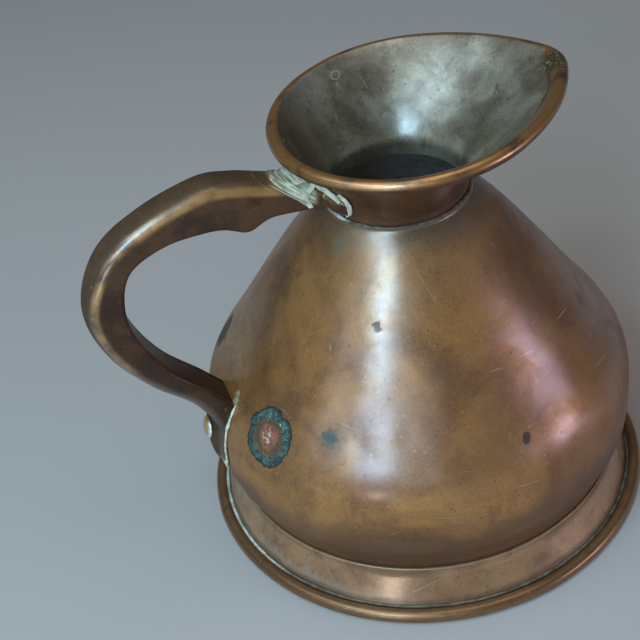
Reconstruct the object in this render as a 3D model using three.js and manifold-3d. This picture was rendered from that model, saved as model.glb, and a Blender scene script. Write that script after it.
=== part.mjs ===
// A one gallon copper measuring jug: bulged cone body on a flared foot, a spouted mouth with a rolled
// rim, and a hollow handle riveted to the belly. Millimetres, +Z up, spout towards +X, handle at -X.

import * as THREE from 'three';
import { mergeVertices } from 'three/addons/utils/BufferGeometryUtils.js';
import Module from 'manifold-3d';

const wasm = await Module();
wasm.setup();

// Gap left between two pieces that touch, and the steps round the jug and along its curves.
const fit = 0.3;
const around = 44;
const wallSteps = 5;
const rollSteps = 7;
const archSteps = 8;
const stationSteps = 3;

// Body: outside radii and heights above the table.
const bodySheet = 1.2;
const neckRadius = 37.5;
const neckTop = 191;
const neckHeight = 3;
const shoulderRadius = 104.5;
const shoulderHeight = 99.5;
const bellyRadius = 116.4;
const bellyHeight = 68;
const creaseRadius = 114.4;
const creaseHeight = 44.5;
const waistRadius = 106.6;
const waistHeight = 26.2;
const tailLength = 14;
const coneHollow = 26;
const coneFill = 32;
const shoulderRound = 14;
const bellyRound = 13;
const tuckRound = 9;

// Base pan: a disc with a turned down flange, let into the body's tail.
const panSheet = 1.2;
const panHeight = 20;
const panRise = 1.5;
const panCorner = 3;

// Foot: a flared skirt, its lower edge rolled outwards over a wire and worn flat underneath.
const footRadius = 123.5;
const footSheet = 1.2;
const footWire = 4.5;
const footWear = 0.25;
const skirtLap = 4.5;

// Mouth: a collar inside the body's neck, a flared wall, and an egg shaped rim rolled over a wire.
// The rim's height above the neck is taken on the jug's axis, and it rises towards the spout.
const mouthSheet = 1.1;
const collarDepth = 2.5;
const collarHeight = 3.5;
const rimHalfWidth = 70;
const rimBackReach = 60.5;
const spoutReach = 93;
const spoutTipRadius = 25;
const rimSideRadius = 110;
const mouthRise = 42;
const rimTilt = 0.047;
const rimWire = 4;
const flareLean = 1.12;
const flareFoot = 0.12;
const flareTop = 0.5;

// Handle: a round backed hollow section whose lips fold under beside the strap.
const handleSheet = 1.2;
const gripHalfWidth = 11;
const gripCrown = 9.5;
const lipWidth = 3.2;
const lipRadius = 2.6;
const strapThickness = 2;
const leafSpread = 3;
const leafCrown = 6;
const leafRise = 0.4;
const leafTop = 90;
const leafTip = 51;
const strapEnd = 64;
const handleReach = 51;
const mitreBack = 9.5;
const mitreInset = 4.5;
const spurPlace = -81;
const spurHeight = 4;
const spurReach = 8;

// Saddle between the handle's mitred top end and the mouth.
const wingSpread = 20;
const wingDrop = 20.5;
const wingThickness = 2.2;

// Rivet through leaf, strap and body, with a burr under its closed end.
const rivetHeight = 77;
const rivetHeadRadius = 6.2;
const rivetHeadHeight = 2.6;
const rivetHeadEdge = 0.5;
const rivetShankRadius = 2.5;
const burrRadius = 6;
const burrThickness = 1.5;
const rivetTailRadius = 4;
const rivetTailHeight = 1.6;
const rivetTailBevel = 1;
const rivetSteps = 20;

// Solder lines.
const neckSolderSize = 1;
const footSolderSize = 2.2;
const leafSolderSize = 1.3;
const baseSolderRise = 7;
const baseSolderSize = 1.2;
const poolLength = 9;
const poolWidth = 10;
const poolDepth = 2.6;
const poolInset = 6.5;
const poolDrop = 13.4;

// Turns a geometry into a solid that can be cut and joined.
function toSolid(geometry) {
  const bare = geometry.clone();
  bare.deleteAttribute('normal');
  bare.deleteAttribute('uv');
  const merged = mergeVertices(bare, 1e-4);
  const mesh = new wasm.Mesh({
    numProp: 3,
    vertProperties: Float32Array.from(merged.attributes.position.array),
    triVerts: Uint32Array.from(merged.index.array),
  });
  return new wasm.Manifold(mesh);
}

function toGeometry(solid) {
  const { vertProperties, triVerts } = solid.getMesh();
  const geometry = new THREE.BufferGeometry();
  geometry.setAttribute('position', new THREE.BufferAttribute(vertProperties, 3));
  geometry.setIndex(new THREE.BufferAttribute(triVerts, 1));
  geometry.computeVertexNormals();
  return geometry;
}

// A profile of [radius, height] pairs turned round the jug's axis, with a flat facing each way
// along X and Y.
function revolve(profile, steps = around) {
  const closed = profile.map(([r, z]) => new THREE.Vector2(r, z));
  const onAxis = profile[0][0] === 0 && profile.at(-1)[0] === 0;
  if (!onAxis) closed.push(closed[0].clone());
  return new THREE.LatheGeometry(closed, steps, Math.PI / steps).rotateX(Math.PI / 2);
}

// Points of a circle's arc, in angles from the first axis towards the second.
function arc(centre, radius, from, to, steps) {
  const points = [];
  for (let i = 0; i <= steps; i++) {
    const angle = from + (to - from) * i / steps;
    points.push([centre[0] + radius * Math.cos(angle), centre[1] + radius * Math.sin(angle)]);
  }
  return points;
}

// Skins a row of rings with the same number of points, each running anticlockwise seen along the
// row. The row closes on itself, or gets a flat face at each end.
function skin(rings, closesOnItself) {
  const size = rings[0].length;
  const positions = rings.flat().flatMap((p) => [p.x, p.y, p.z]);
  const index = [];
  const last = closesOnItself ? rings.length : rings.length - 1;
  for (let i = 0; i < last; i++) {
    const a = i * size;
    const b = ((i + 1) % rings.length) * size;
    for (let j = 0; j < size; j++) {
      const k = (j + 1) % size;
      index.push(a + j, b + j, b + k, a + j, b + k, a + k);
    }
  }
  if (!closesOnItself) {
    capEnd(rings[0], 0, true, index);
    capEnd(rings.at(-1), (rings.length - 1) * size, false, index);
  }
  const geometry = new THREE.BufferGeometry();
  geometry.setAttribute('position', new THREE.Float32BufferAttribute(positions, 3));
  geometry.setIndex(index);
  return geometry;
}

// Fills one ring, flattened onto its own plane.
function capEnd(ring, start, facesBack, index) {
  const normal = new THREE.Vector3();
  ring.forEach((p, i) => normal.add(p.clone().cross(ring[(i + 1) % ring.length])));
  normal.normalize();
  const side = ring[1].clone().sub(ring[0]).projectOnPlane(normal).normalize();
  const up = normal.clone().cross(side);
  const flat = ring.map((p) => new THREE.Vector2(p.dot(side), p.dot(up)));
  for (const [a, b, c] of THREE.ShapeUtils.triangulateShape(flat, [])) {
    if (facesBack) index.push(start + a, start + b, start + c);
    else index.push(start + a, start + c, start + b);
  }
}

// Body. The outline runs down the outside from the neck to the tail.
const waistEnd = waistHeight - tailLength;
const shoulder = new THREE.Vector2(shoulderRadius, shoulderHeight);
const belly = new THREE.Vector2(bellyRadius, bellyHeight);
const coneTop = new THREE.Vector2(neckRadius, neckTop - neckHeight);
const coneSlope = shoulder.clone().sub(coneTop).normalize();
const cone = new THREE.CubicBezierCurve(
  coneTop,
  coneTop.clone().add(new THREE.Vector2(coneHollow, -coneHollow)),
  shoulder.clone().addScaledVector(coneSlope, -coneFill),
  shoulder,
);
const swell = new THREE.CubicBezierCurve(
  shoulder,
  shoulder.clone().addScaledVector(cone.getTangent(1), shoulderRound),
  belly.clone().add(new THREE.Vector2(0, bellyRound)),
  belly,
);
const tuck = new THREE.QuadraticBezierCurve(
  belly,
  new THREE.Vector2(bellyRadius, creaseHeight + tuckRound),
  new THREE.Vector2(creaseRadius, creaseHeight),
);
const bodyOutline = [
  [neckRadius, neckTop],
  ...cone.getPoints(4).map((p) => p.toArray()),
  ...swell.getPoints(4).slice(1).map((p) => p.toArray()),
  ...tuck.getPoints(2).slice(1).map((p) => p.toArray()),
  [waistRadius, waistHeight],
  [waistRadius, waistEnd],
];

// The outline moved outwards, or inwards where the amount is negative.
function offsetOutline(outline, amount) {
  return outline.map(([r, z], i) => {
    const before = outline[Math.max(i - 1, 0)];
    const after = outline[Math.min(i + 1, outline.length - 1)];
    const a = i > 0 ? sideways(before, outline[i]) : sideways(outline[i], after);
    const b = i < outline.length - 1 ? sideways(outline[i], after) : a;
    const stretch = amount / (1 + a[0] * b[0] + a[1] * b[1]);
    return [r + (a[0] + b[0]) * stretch, z + (a[1] + b[1]) * stretch];
  });
}

// Unit vector to the left of a step that runs down the outline, so it points away from the axis.
function sideways([r0, z0], [r1, z1]) {
  const length = Math.hypot(r1 - r0, z1 - z0);
  return [(z0 - z1) / length, (r1 - r0) / length];
}

function radiusAt(outline, height) {
  const i = outline.findIndex(([, z]) => z <= height);
  const [r0, z0] = outline[i - 1];
  const [r1, z1] = outline[i];
  return r1 + (r0 - r1) * (height - z1) / (z0 - z1);
}

function makeBody() {
  const inside = offsetOutline(bodyOutline, -bodySheet);
  const shell = toSolid(revolve([...bodyOutline, ...inside.reverse()].reverse()));
  return toGeometry(shell.subtract(rivetBore()));
}

// The body as a full solid, grown outwards, to cut what lies against it.
function bodyBlock(grow) {
  const outline = offsetOutline(bodyOutline, grow);
  return toSolid(revolve([[0, neckTop], ...outline, [0, waistEnd]].reverse()));
}

// Base pan.
const panRadius = waistRadius - bodySheet - fit;

function makeBasePan() {
  const corner = [panRadius - panCorner, panHeight - panCorner];
  const turn = arc(corner, panCorner, 0, Math.PI / 2, 2);
  const innerTurn = arc(corner, panCorner - panSheet, Math.PI / 2, 0, 2);
  return revolve([
    [0, panHeight + panRise - panSheet],
    ...innerTurn,
    [panRadius - panSheet, waistEnd],
    [panRadius, waistEnd],
    ...turn,
    [0, panHeight + panRise],
  ]);
}

// Foot. The sheet's middle line comes down the skirt, then rolls under, out and over the wire.
const footRoll = footWire / 2 + fit + footSheet / 2;
const footBead = footRoll + footSheet / 2;
const footCentre = [footRadius - footBead, footBead - footWear];
const skirtTop = waistHeight;
const skirtKnee = [waistRadius + fit + footSheet / 2, skirtTop - skirtLap];
const kneeToCentre = Math.hypot(footCentre[0] - skirtKnee[0], footCentre[1] - skirtKnee[1]);
const skirtLean = Math.atan2(footCentre[0] - skirtKnee[0], skirtKnee[1] - footCentre[1])
  - Math.asin(footRoll / kneeToCentre);

// How much of a roll's circle stays open, so that its raw edge clears the sheet it comes back to.
function rollOpening(radius, sheet) {
  return Math.acos((radius - sheet / 2 - fit) / (radius + sheet / 2));
}

function makeFootSkirt() {
  const start = Math.PI + skirtLean;
  const end = start + 2 * Math.PI - rollOpening(footRoll, footSheet);
  const bottom = 1.5 * Math.PI;
  const flat = Math.acos(footCentre[1] / footBead);
  const half = footSheet / 2;
  const miter = half * Math.tan(skirtLean / 2);
  const inner = footRoll - half;
  return revolve([
    [skirtKnee[0] - half, skirtTop],
    [skirtKnee[0] - half, skirtKnee[1] - miter],
    ...arc(footCentre, footBead, start, bottom - flat, 2),
    ...arc(footCentre, footBead, bottom + flat, end, rollSteps - 2),
    ...arc(footCentre, inner, end, start, rollSteps),
    [skirtKnee[0] + half, skirtKnee[1] + miter],
    [skirtKnee[0] + half, skirtTop],
  ]);
}

function makeFootWire() {
  return revolve(arc(footCentre, footWire / 2, 0, 2 * Math.PI, 6).slice(0, -1));
}

// Mouth. Every section stands in the rim's own normal direction, so the roll keeps its round form.
const rimRoll = rimWire / 2 + fit + mouthSheet / 2;
const rimBead = rimRoll + mouthSheet / 2;
const collarRadius = neckRadius - bodySheet - fit;
const collarMiddle = collarRadius - mouthSheet / 2;
const flareStart = neckTop + collarHeight;
const rimHeight = neckTop + mouthRise;

// The rim's outline is three arcs: round the back, down each side, and round the spout's tip.
function rimPoint(angle, inset) {
  const backX = rimHalfWidth - rimBackReach;
  const tipX = spoutReach - spoutTipRadius;
  const toBack = rimSideRadius - rimHalfWidth;
  const toTip = rimSideRadius - spoutTipRadius;
  const span = tipX - backX;
  const along = (toBack ** 2 - toTip ** 2 + span ** 2) / (2 * span);
  const below = Math.sqrt(toBack ** 2 - along ** 2);
  const turn = Math.abs(Math.atan2(Math.sin(angle), Math.cos(angle)));
  let centre = [backX + along, -below, rimSideRadius];
  if (turn > Math.atan2(below, -along)) centre = [backX, 0, rimHalfWidth];
  if (turn < Math.atan2(below, span - along)) centre = [tipX, 0, spoutTipRadius];
  const side = Math.sin(angle) < 0 ? -1 : 1;
  const x = centre[0] + (centre[2] - inset) * Math.cos(turn);
  const y = side * (centre[1] + (centre[2] - inset) * Math.sin(turn));
  return { x, y, z: rimHeight + rimTilt * x };
}

// The mouth's section at one normal direction: the wall's middle line with its sideways normals,
// the roll's centre, and the point of the plan that the section is measured from.
function mouthSection(angle) {
  const rim = rimPoint(angle, rimBead);
  const normal = new THREE.Vector3(Math.cos(angle), Math.sin(angle), 0);
  const along = new THREE.Vector3(-Math.sin(angle), Math.cos(angle), 0);
  const reach = rim.x * normal.x + rim.y * normal.y;
  const drift = rim.x * along.x + rim.y * along.y;
  const lean = flareLean * Math.atan2(reach - collarMiddle, rim.z - flareStart);
  const tangent = new THREE.Vector2(Math.sin(lean), Math.cos(lean));
  const rollStart = new THREE.Vector2(reach - rimRoll * tangent.y, rim.z + rimRoll * tangent.x);
  const foot = new THREE.Vector2(collarMiddle, flareStart);
  const size = rollStart.distanceTo(foot);
  const curve = new THREE.CubicBezierCurve(
    foot,
    foot.clone().add(new THREE.Vector2(0, flareFoot * size)),
    rollStart.clone().addScaledVector(tangent, -flareTop * size),
    rollStart,
  );
  const wall = [];
  for (let i = 0; i <= wallSteps; i++) {
    const t = (i / wallSteps) ** 1.4;
    const p = curve.getPoint(t);
    const d = curve.getTangent(t);
    const share = (p.x - foot.x) / (rollStart.x - foot.x);
    wall.push({ r: p.x, z: p.y, out: [d.y, -d.x], share });
  }
  wall.unshift({ r: collarMiddle, z: neckTop - collarDepth, out: [1, 0], share: 0 });
  const place = (r, z, share) => normal.clone().multiplyScalar(r)
    .addScaledVector(along, drift * share).setZ(z);
  return { wall, lean, centre: [reach, rim.z], place };
}

function makeMouth() {
  const rings = [];
  for (let i = 0; i < around; i++) {
    const { wall, lean, centre, place } = mouthSection(2 * Math.PI * i / around);
    const half = mouthSheet / 2;
    const start = Math.PI - lean;
    const end = start - 2 * Math.PI + rollOpening(rimRoll, mouthSheet);
    const inside = wall.slice(0, -1).map((p) => place(p.r - half * p.out[0], p.z - half * p.out[1], p.share));
    const outside = wall.slice(0, -1).map((p) => place(p.r + half * p.out[0], p.z + half * p.out[1], p.share));
    const over = arc(centre, rimRoll + half, end, start, rollSteps).map(([r, z]) => place(r, z, 1));
    const under = arc(centre, rimRoll - half, start, end, rollSteps).map(([r, z]) => place(r, z, 1));
    rings.push([...outside, ...under, ...over, ...inside.reverse()]);
  }
  return skin(rings, true);
}

// The mouth's outside as a full solid, grown outwards, to cut what lies against it.
function mouthBlock(grow) {
  const sections = [];
  for (let i = 0; i < around; i++) {
    const { wall, centre, place } = mouthSection(2 * Math.PI * i / around);
    const side = mouthSheet / 2 + grow;
    const face = wall.slice(0, -1).map((p) => place(p.r + side * p.out[0], p.z + side * p.out[1], p.share));
    const bead = arc(centre, rimBead + grow, -0.75 * Math.PI, Math.PI / 2, 6);
    sections.push([...face, ...bead.map(([r, z]) => place(r, z, 1))]);
  }
  const rings = sections[0].map((_, level) => sections.map((section) => section[level]));
  return toSolid(skin(rings.reverse(), false));
}

function makeRimWire() {
  const rings = [];
  for (let i = 0; i < around; i++) {
    const { centre, place } = mouthSection(2 * Math.PI * i / around);
    const circle = arc(centre, rimWire / 2, 0, 2 * Math.PI, 6).slice(0, -1);
    rings.push(circle.map(([r, z]) => place(r, z, 1)));
  }
  return skin(rings, true);
}

// Handle. Two side view lines run from under the rim, round the grip and down the belly: the back
// of the handle and its finger side. Each pair of points is one cross section.
const leafHeight = fit + strapThickness + fit + handleSheet + leafRise;
const leafDepth = 8;
const leafHalfWidth = gripHalfWidth + leafSpread;
const gripFar = -(bellyRadius + handleReach);
const rimBackTop = rimHeight - rimTilt * rimBackReach;
const onBody = (height, out) => [-(radiusAt(bodyOutline, height) + out), height];
const handleStations = [
  { back: [-rimBackReach + 24.5, rimBackTop - 21], finger: [-rimBackReach + 30.5, rimBackTop - 33] },
  { back: [-rimBackReach - 6.5, rimBackTop - 10], finger: [-rimBackReach - 3.5, rimBackTop - 28.5] },
  { back: [-rimBackReach - 21.5, rimBackTop - 5], finger: [-rimBackReach - 21.5, rimBackTop - 28.5] },
  { back: [-rimBackReach - 39.5, rimBackTop - 2.5], finger: [-rimBackReach - 40.5, rimBackTop - 26] },
  { back: [gripFar + 39, rimBackTop - 10], finger: [gripFar + 45, rimBackTop - 26.5] },
  { back: [gripFar + 13, rimBackTop - 26], finger: [gripFar + 26, rimBackTop - 36] },
  { back: [gripFar, leafTop + 86], finger: [gripFar + 19.5, leafTop + 84] },
  { back: [gripFar + 5.5, leafTop + 57.5], finger: [gripFar + 22.5, leafTop + 63] },
  { back: [gripFar + 22, leafTop + 31.5], finger: [gripFar + 34, leafTop + 40] },
  { back: [gripFar + 40.5, leafTop + 12], finger: [gripFar + 52.5, leafTop + 19] },
  { back: onBody(leafTop - 3, leafHeight + 2), finger: onBody(leafTop, -leafDepth), leaf: 0.8 },
  { back: onBody(rivetHeight, leafHeight), finger: onBody(rivetHeight, -leafDepth), leaf: 1 },
  { back: onBody(leafTip + 11, leafHeight), finger: onBody(leafTip + 11, -leafDepth), leaf: 1, width: 0.8 },
  { back: onBody(leafTip, -1), finger: onBody(leafTip, -leafDepth - 3), leaf: 1, width: 0.35 },
];
const gripStations = handleStations.findIndex((s) => s.leaf) - 1;
const gripEnd = gripStations / (handleStations.length - 1);
const handleSteps = stationSteps * (handleStations.length - 1);
const sideLine = (points) => new THREE.SplineCurve(points.map(([x, z]) => new THREE.Vector2(x, z)));
const backLine = sideLine(handleStations.map((s) => s.back));
const fingerLine = sideLine(handleStations.map((s) => s.finger));
const leafLine = sideLine(handleStations.map((s) => [s.leaf ?? 0, s.width ?? 1]));

// One cross section's frame and sizes at a share of the way along the handle. The spur is a small
// knuckle on the finger side, under the rim.
function handleSection(t) {
  const back = backLine.getPoint(t);
  const finger = fingerLine.getPoint(t);
  finger.y -= spurHeight * Math.exp(-(((finger.x - spurPlace) / spurReach) ** 2));
  const { x: leaf, y: width } = leafLine.getPoint(t);
  const up = back.clone().sub(finger);
  const depth = up.length();
  up.divideScalar(depth);
  const mix = (grip, flat) => THREE.MathUtils.lerp(grip, flat, leaf);
  const place = (y, v) => new THREE.Vector3(finger.x + up.x * v, y, finger.y + up.y * v);
  return {
    depth,
    place,
    halfWidth: mix(gripHalfWidth, leafHalfWidth) * width,
    crown: mix(gripCrown, leafCrown),
    roundness: 2 / mix(2, 4),
  };
}

// The back of a section from one side to the other: an arch that is round on the grip and
// squarer on the leaf.
function archPoints(halfWidth, base, crown, roundness) {
  return arc([0, 0], 1, 0, Math.PI, archSteps).map(([c, s]) => [
    halfWidth * Math.sign(c) * Math.abs(c) ** roundness,
    base + crown * Math.abs(s) ** roundness,
  ]);
}

// Half of the folded lip, from its raw edge to the side wall.
function lipPoints(halfWidth, radius, level) {
  const bend = arc([halfWidth - lipRadius, lipRadius], radius, -Math.PI / 2, 0, 2);
  return [[halfWidth - lipWidth, level], ...bend];
}

const mirrored = (points) => points.map(([y, v]) => [-y, v]).reverse();

function makeHandleShell() {
  const rings = [];
  for (let i = 0; i <= handleSteps; i++) {
    const { depth, place, halfWidth, crown, roundness } = handleSection(i / handleSteps);
    const base = depth - crown;
    const outerLip = lipPoints(halfWidth, lipRadius, 0);
    const innerLip = lipPoints(halfWidth, lipRadius - handleSheet, handleSheet);
    const outer = archPoints(halfWidth, base, crown, roundness);
    const inner = archPoints(halfWidth - handleSheet, base, crown - handleSheet, roundness);
    const outside = [...outerLip, ...outer, ...mirrored(outerLip)];
    const inside = [...innerLip, ...inner, ...mirrored(innerLip)];
    rings.push([...outside, ...inside.reverse()].map(([y, v]) => place(y, v)));
  }
  return toGeometry(
    toSolid(skin(rings, false))
      .subtract(bodyBlock(fit))
      .subtract(mouthBlock(fit))
      .subtract(mitreBlock(fit))
      .subtract(rivetBore()),
  );
}

// The handle's outside as a full solid, grown, to cut what lies against it.
function handleBlock(grow) {
  const rings = [];
  for (let i = 0; i <= handleSteps; i++) {
    const { depth, place, halfWidth, crown, roundness } = handleSection(i / handleSteps);
    const arch = archPoints(halfWidth + grow, depth - crown, crown + grow, roundness);
    const ring = [[halfWidth + grow, -grow], ...arch, [-halfWidth - grow, -grow]];
    rings.push(ring.map(([y, v]) => place(y, v)));
  }
  return toSolid(skin(rings, false));
}

// The strap lies between the lips along the grip, then on the body under the leaf.
function makeStrap() {
  const lipGap = gripHalfWidth - lipWidth - fit;
  const ring = (place) => [
    [lipGap, 0],
    [lipGap, strapThickness],
    [-lipGap, strapThickness],
    [-lipGap, 0],
  ].map(([y, v]) => place(y, v));
  const rings = [];
  const gripSteps = stationSteps * gripStations;
  for (let i = 0; i <= gripSteps; i++) {
    rings.push(ring(handleSection(gripEnd * i / gripSteps).place));
  }
  for (let i = 0; i <= wallSteps; i++) {
    const height = THREE.MathUtils.lerp(leafTop, strapEnd, i / wallSteps);
    const lean = bodyLean(height);
    const [x, z] = onBody(height, fit / Math.cos(lean));
    rings.push(ring((y, v) => new THREE.Vector3(x - v * Math.cos(lean), y, z + v * Math.sin(lean))));
  }
  return toGeometry(
    toSolid(skin(rings, false))
      .subtract(bodyBlock(fit))
      .subtract(mouthBlock(fit))
      .subtract(mitreBlock(fit))
      .subtract(rivetBore()),
  );
}

// Everything on the jug's side of the handle's mitred top end. The mitre leans back from the neck
// to just inside the rim's back edge.
const poolHeight = rimBackTop - poolDrop;
const mitreRun = rimBackReach - mitreInset - collarRadius - mitreBack;
const mitreLean = mitreRun / (poolHeight - flareStart);

function mitreBlock(grow) {
  const top = rimHeight;
  const x = -(collarRadius + mitreBack) - grow * Math.hypot(1, mitreLean);
  const lean = mitreLean * (top - flareStart);
  const shape = new THREE.Shape([
    new THREE.Vector2(x, flareStart),
    new THREE.Vector2(0, flareStart),
    new THREE.Vector2(0, top),
    new THREE.Vector2(x - lean, top),
  ]);
  return toSolid(sidePrism(shape, 2 * rimHalfWidth));
}

// A side view outline in X and Z, given a width across the jug.
function sidePrism(shape, width) {
  const options = { depth: width, bevelEnabled: false };
  return new THREE.ExtrudeGeometry(shape, options).rotateX(Math.PI / 2).translate(0, width / 2, 0);
}

// The saddle fills the space between the mitre and the mouth's wall, and two thin wings with round
// ends spread from it along the wall.
function makeSaddle() {
  const low = neckTop + neckSolderSize + 2 * fit;
  const high = rimBackTop - wingDrop;
  const corner = (high - low) / 2;
  const outline = new THREE.Shape()
    .moveTo(-wingSpread + corner, low)
    .lineTo(wingSpread - corner, low)
    .absarc(wingSpread - corner, low + corner, corner, -Math.PI / 2, Math.PI / 2)
    .lineTo(-wingSpread + corner, high)
    .absarc(-wingSpread + corner, low + corner, corner, Math.PI / 2, 1.5 * Math.PI);
  const options = { depth: rimHalfWidth, bevelEnabled: false, curveSegments: 6 };
  const wingSpan = new THREE.ExtrudeGeometry(outline, options)
    .rotateX(Math.PI / 2)
    .rotateZ(Math.PI / 2)
    .translate(-rimHalfWidth, 0, 0);
  const wings = mouthBlock(fit + wingThickness).intersect(toSolid(wingSpan));
  const core = handleBlock(0).intersect(mitreBlock(0)).subtract(lowerSlice(low));
  return toGeometry(core.add(wings).subtract(mouthBlock(fit)));
}

// Everything under a height.
function lowerSlice(height) {
  const width = 4 * footRadius;
  return toSolid(new THREE.BoxGeometry(width, width, height).translate(0, 0, height / 2));
}

// How far the body's wall leans inwards from upright about a height, in radians.
function bodyLean(height) {
  const drop = radiusAt(bodyOutline, height - burrRadius) - radiusAt(bodyOutline, height + burrRadius);
  return Math.atan2(drop, 2 * burrRadius);
}

// Stands a shape drawn round Z, from the body's outside outwards, on the rivet's place.
const rivetLean = bodyLean(rivetHeight);
const rivetFoot = new THREE.Vector2(...onBody(rivetHeight - burrRadius, 0))
  .lerp(new THREE.Vector2(...onBody(rivetHeight + burrRadius, 0)), 0.5);

function atRivet(geometry) {
  return geometry.rotateY(rivetLean - Math.PI / 2).translate(rivetFoot.x, 0, rivetFoot.y);
}

// The burr lies against the body's inside, and the head on the leaf's back at its highest.
const burrSeat = -bodySheet - 2 * fit;

function leafSeat() {
  const out = new THREE.Vector2(-Math.cos(rivetLean), Math.sin(rivetLean));
  const under = backLine.getPoints(20 * handleSteps)
    .map((p) => p.sub(rivetFoot))
    .filter((p) => Math.abs(p.cross(out)) < rivetHeadRadius);
  return Math.max(...under.map((p) => p.dot(out)));
}

// The hole that the rivet's shank passes through.
function rivetBore() {
  const reach = 4 * leafHeight;
  const radius = rivetShankRadius + fit;
  const bore = [[0, -reach], [radius, -reach], [radius, reach], [0, reach]];
  return toSolid(atRivet(revolve(bore, rivetSteps)));
}

function makeRivet() {
  const seat = leafSeat() + fit;
  const tail = burrSeat - burrThickness - fit;
  const crest = seat + rivetHeadHeight;
  const dome = new THREE.QuadraticBezierCurve(
    new THREE.Vector2(rivetHeadRadius, seat + rivetHeadEdge),
    new THREE.Vector2(rivetHeadRadius - rivetHeadEdge, crest),
    new THREE.Vector2(0, crest),
  );
  return atRivet(revolve([
    [0, tail - rivetTailHeight],
    [rivetTailRadius - rivetTailBevel, tail - rivetTailHeight],
    [rivetTailRadius, tail - rivetTailHeight + rivetTailBevel],
    [rivetTailRadius, tail],
    [rivetShankRadius, tail],
    [rivetShankRadius, seat],
    [rivetHeadRadius, seat],
    ...dome.getPoints(4).map((p) => p.toArray()),
  ], rivetSteps));
}

function makeBurr() {
  const inner = rivetShankRadius + fit;
  const bottom = burrSeat - burrThickness;
  const ring = [[inner, bottom], [burrRadius, bottom], [burrRadius, burrSeat], [inner, burrSeat]];
  return atRivet(revolve(ring, rivetSteps));
}

// Solder. Each line fills the corner between the pieces that it joins.
function makeNeckSolder() {
  const wall = collarRadius + fit;
  const edge = neckRadius + fit;
  const top = neckTop + fit;
  return revolve([
    [wall, top],
    [edge, top],
    [edge, top - neckSolderSize],
    [edge + neckSolderSize / 2, top - neckSolderSize / 2],
    [wall, top + neckSolderSize],
  ]);
}

function makeFootSolder() {
  const groove = Math.acos((footRoll - footSheet / 2 - fit) / (footBead + fit));
  const start = Math.PI + skirtLean - groove;
  const seat = arc(footCentre, footBead + fit, start, start - footSolderSize / footBead, 2);
  const [r, z] = seat[0];
  const top = [r - footSolderSize * Math.sin(skirtLean), z + footSolderSize * Math.cos(skirtLean)];
  return revolve([top, ...seat]);
}

function makeBaseSolder() {
  const tail = waistRadius + fit;
  const under = waistEnd - fit;
  const inner = panRadius - panSheet;
  const edge = under + footSolderSize;
  const middle = skirtKnee[0] + (skirtKnee[1] - edge) * Math.tan(skirtLean);
  const reach = middle - (footSheet / 2 + fit) / Math.cos(skirtLean);
  return revolve([
    [tail, under + baseSolderRise],
    [tail, under],
    [inner, under],
    [inner + baseSolderSize / 2, under - baseSolderSize],
    [tail + baseSolderSize, under - baseSolderSize / 2],
    [reach, edge],
  ]);
}

// A pool on top of the handle, where it runs under the rim.
function makeTopSolder() {
  const pool = new THREE.SphereGeometry(1, 16, 8)
    .scale(poolLength, poolWidth, poolDepth)
    .translate(-rimBackReach + poolInset, 0, poolHeight);
  return toGeometry(toSolid(pool).subtract(mouthBlock(fit)).subtract(handleBlock(fit)));
}

// A line round the edge of the leaf, on the body.
function makeLeafSolder() {
  const layer = bodyBlock(fit + leafSolderSize).subtract(bodyBlock(fit));
  const band = handleBlock(fit + leafSolderSize).subtract(handleBlock(fit));
  const below = lowerSlice(leafTop);
  return toGeometry(band.intersect(layer).intersect(below));
}

function material(color, roughness, metalness) {
  return new THREE.MeshStandardMaterial({ color, roughness, metalness });
}

const copper = () => material('#8a5a34', 0.42, 1);
const darkCopper = () => material('#4a3122', 0.5, 1);
const brightCopper = () => material('#b5713a', 0.32, 1);
const iron = () => material('#4c4a48', 0.6, 1);
const tinSolder = () => material('#9c9a8c', 0.45, 1);

const pieces = {
  body_shell: [makeBody(), copper()],
  base_pan: [makeBasePan(), copper()],
  foot_skirt: [makeFootSkirt(), brightCopper()],
  foot_wire: [makeFootWire(), iron()],
  mouth_funnel: [makeMouth(), copper()],
  rim_wire: [makeRimWire(), iron()],
  handle_shell: [makeHandleShell(), darkCopper()],
  handle_strap: [makeStrap(), darkCopper()],
  handle_saddle: [makeSaddle(), darkCopper()],
  handle_rivet: [makeRivet(), brightCopper()],
  rivet_burr: [makeBurr(), brightCopper()],
  neck_solder: [makeNeckSolder(), tinSolder()],
  foot_solder: [makeFootSolder(), tinSolder()],
  base_solder: [makeBaseSolder(), tinSolder()],
  handle_top_solder: [makeTopSolder(), tinSolder()],
  handle_leaf_solder: [makeLeafSolder(), tinSolder()],
};

const jug = new THREE.Group();
for (const [name, [geometry, surface]] of Object.entries(pieces)) {
  const mesh = new THREE.Mesh(geometry, surface);
  mesh.name = name;
  jug.add(mesh);
}

// The jug is drawn round its own axis, then moved so that the origin is under the middle of its length.
const bounds = new THREE.Box3().setFromObject(jug, true);
jug.position.x = -(bounds.min.x + bounds.max.x) / 2;

const model = new THREE.Group();
model.add(jug);

export default model;
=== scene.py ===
"""A one gallon copper measuring jug, with the aged surfaces of the real one."""

import math

import bmesh
import bpy
import numpy as np
from mathutils import Euler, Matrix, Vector, noise


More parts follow.
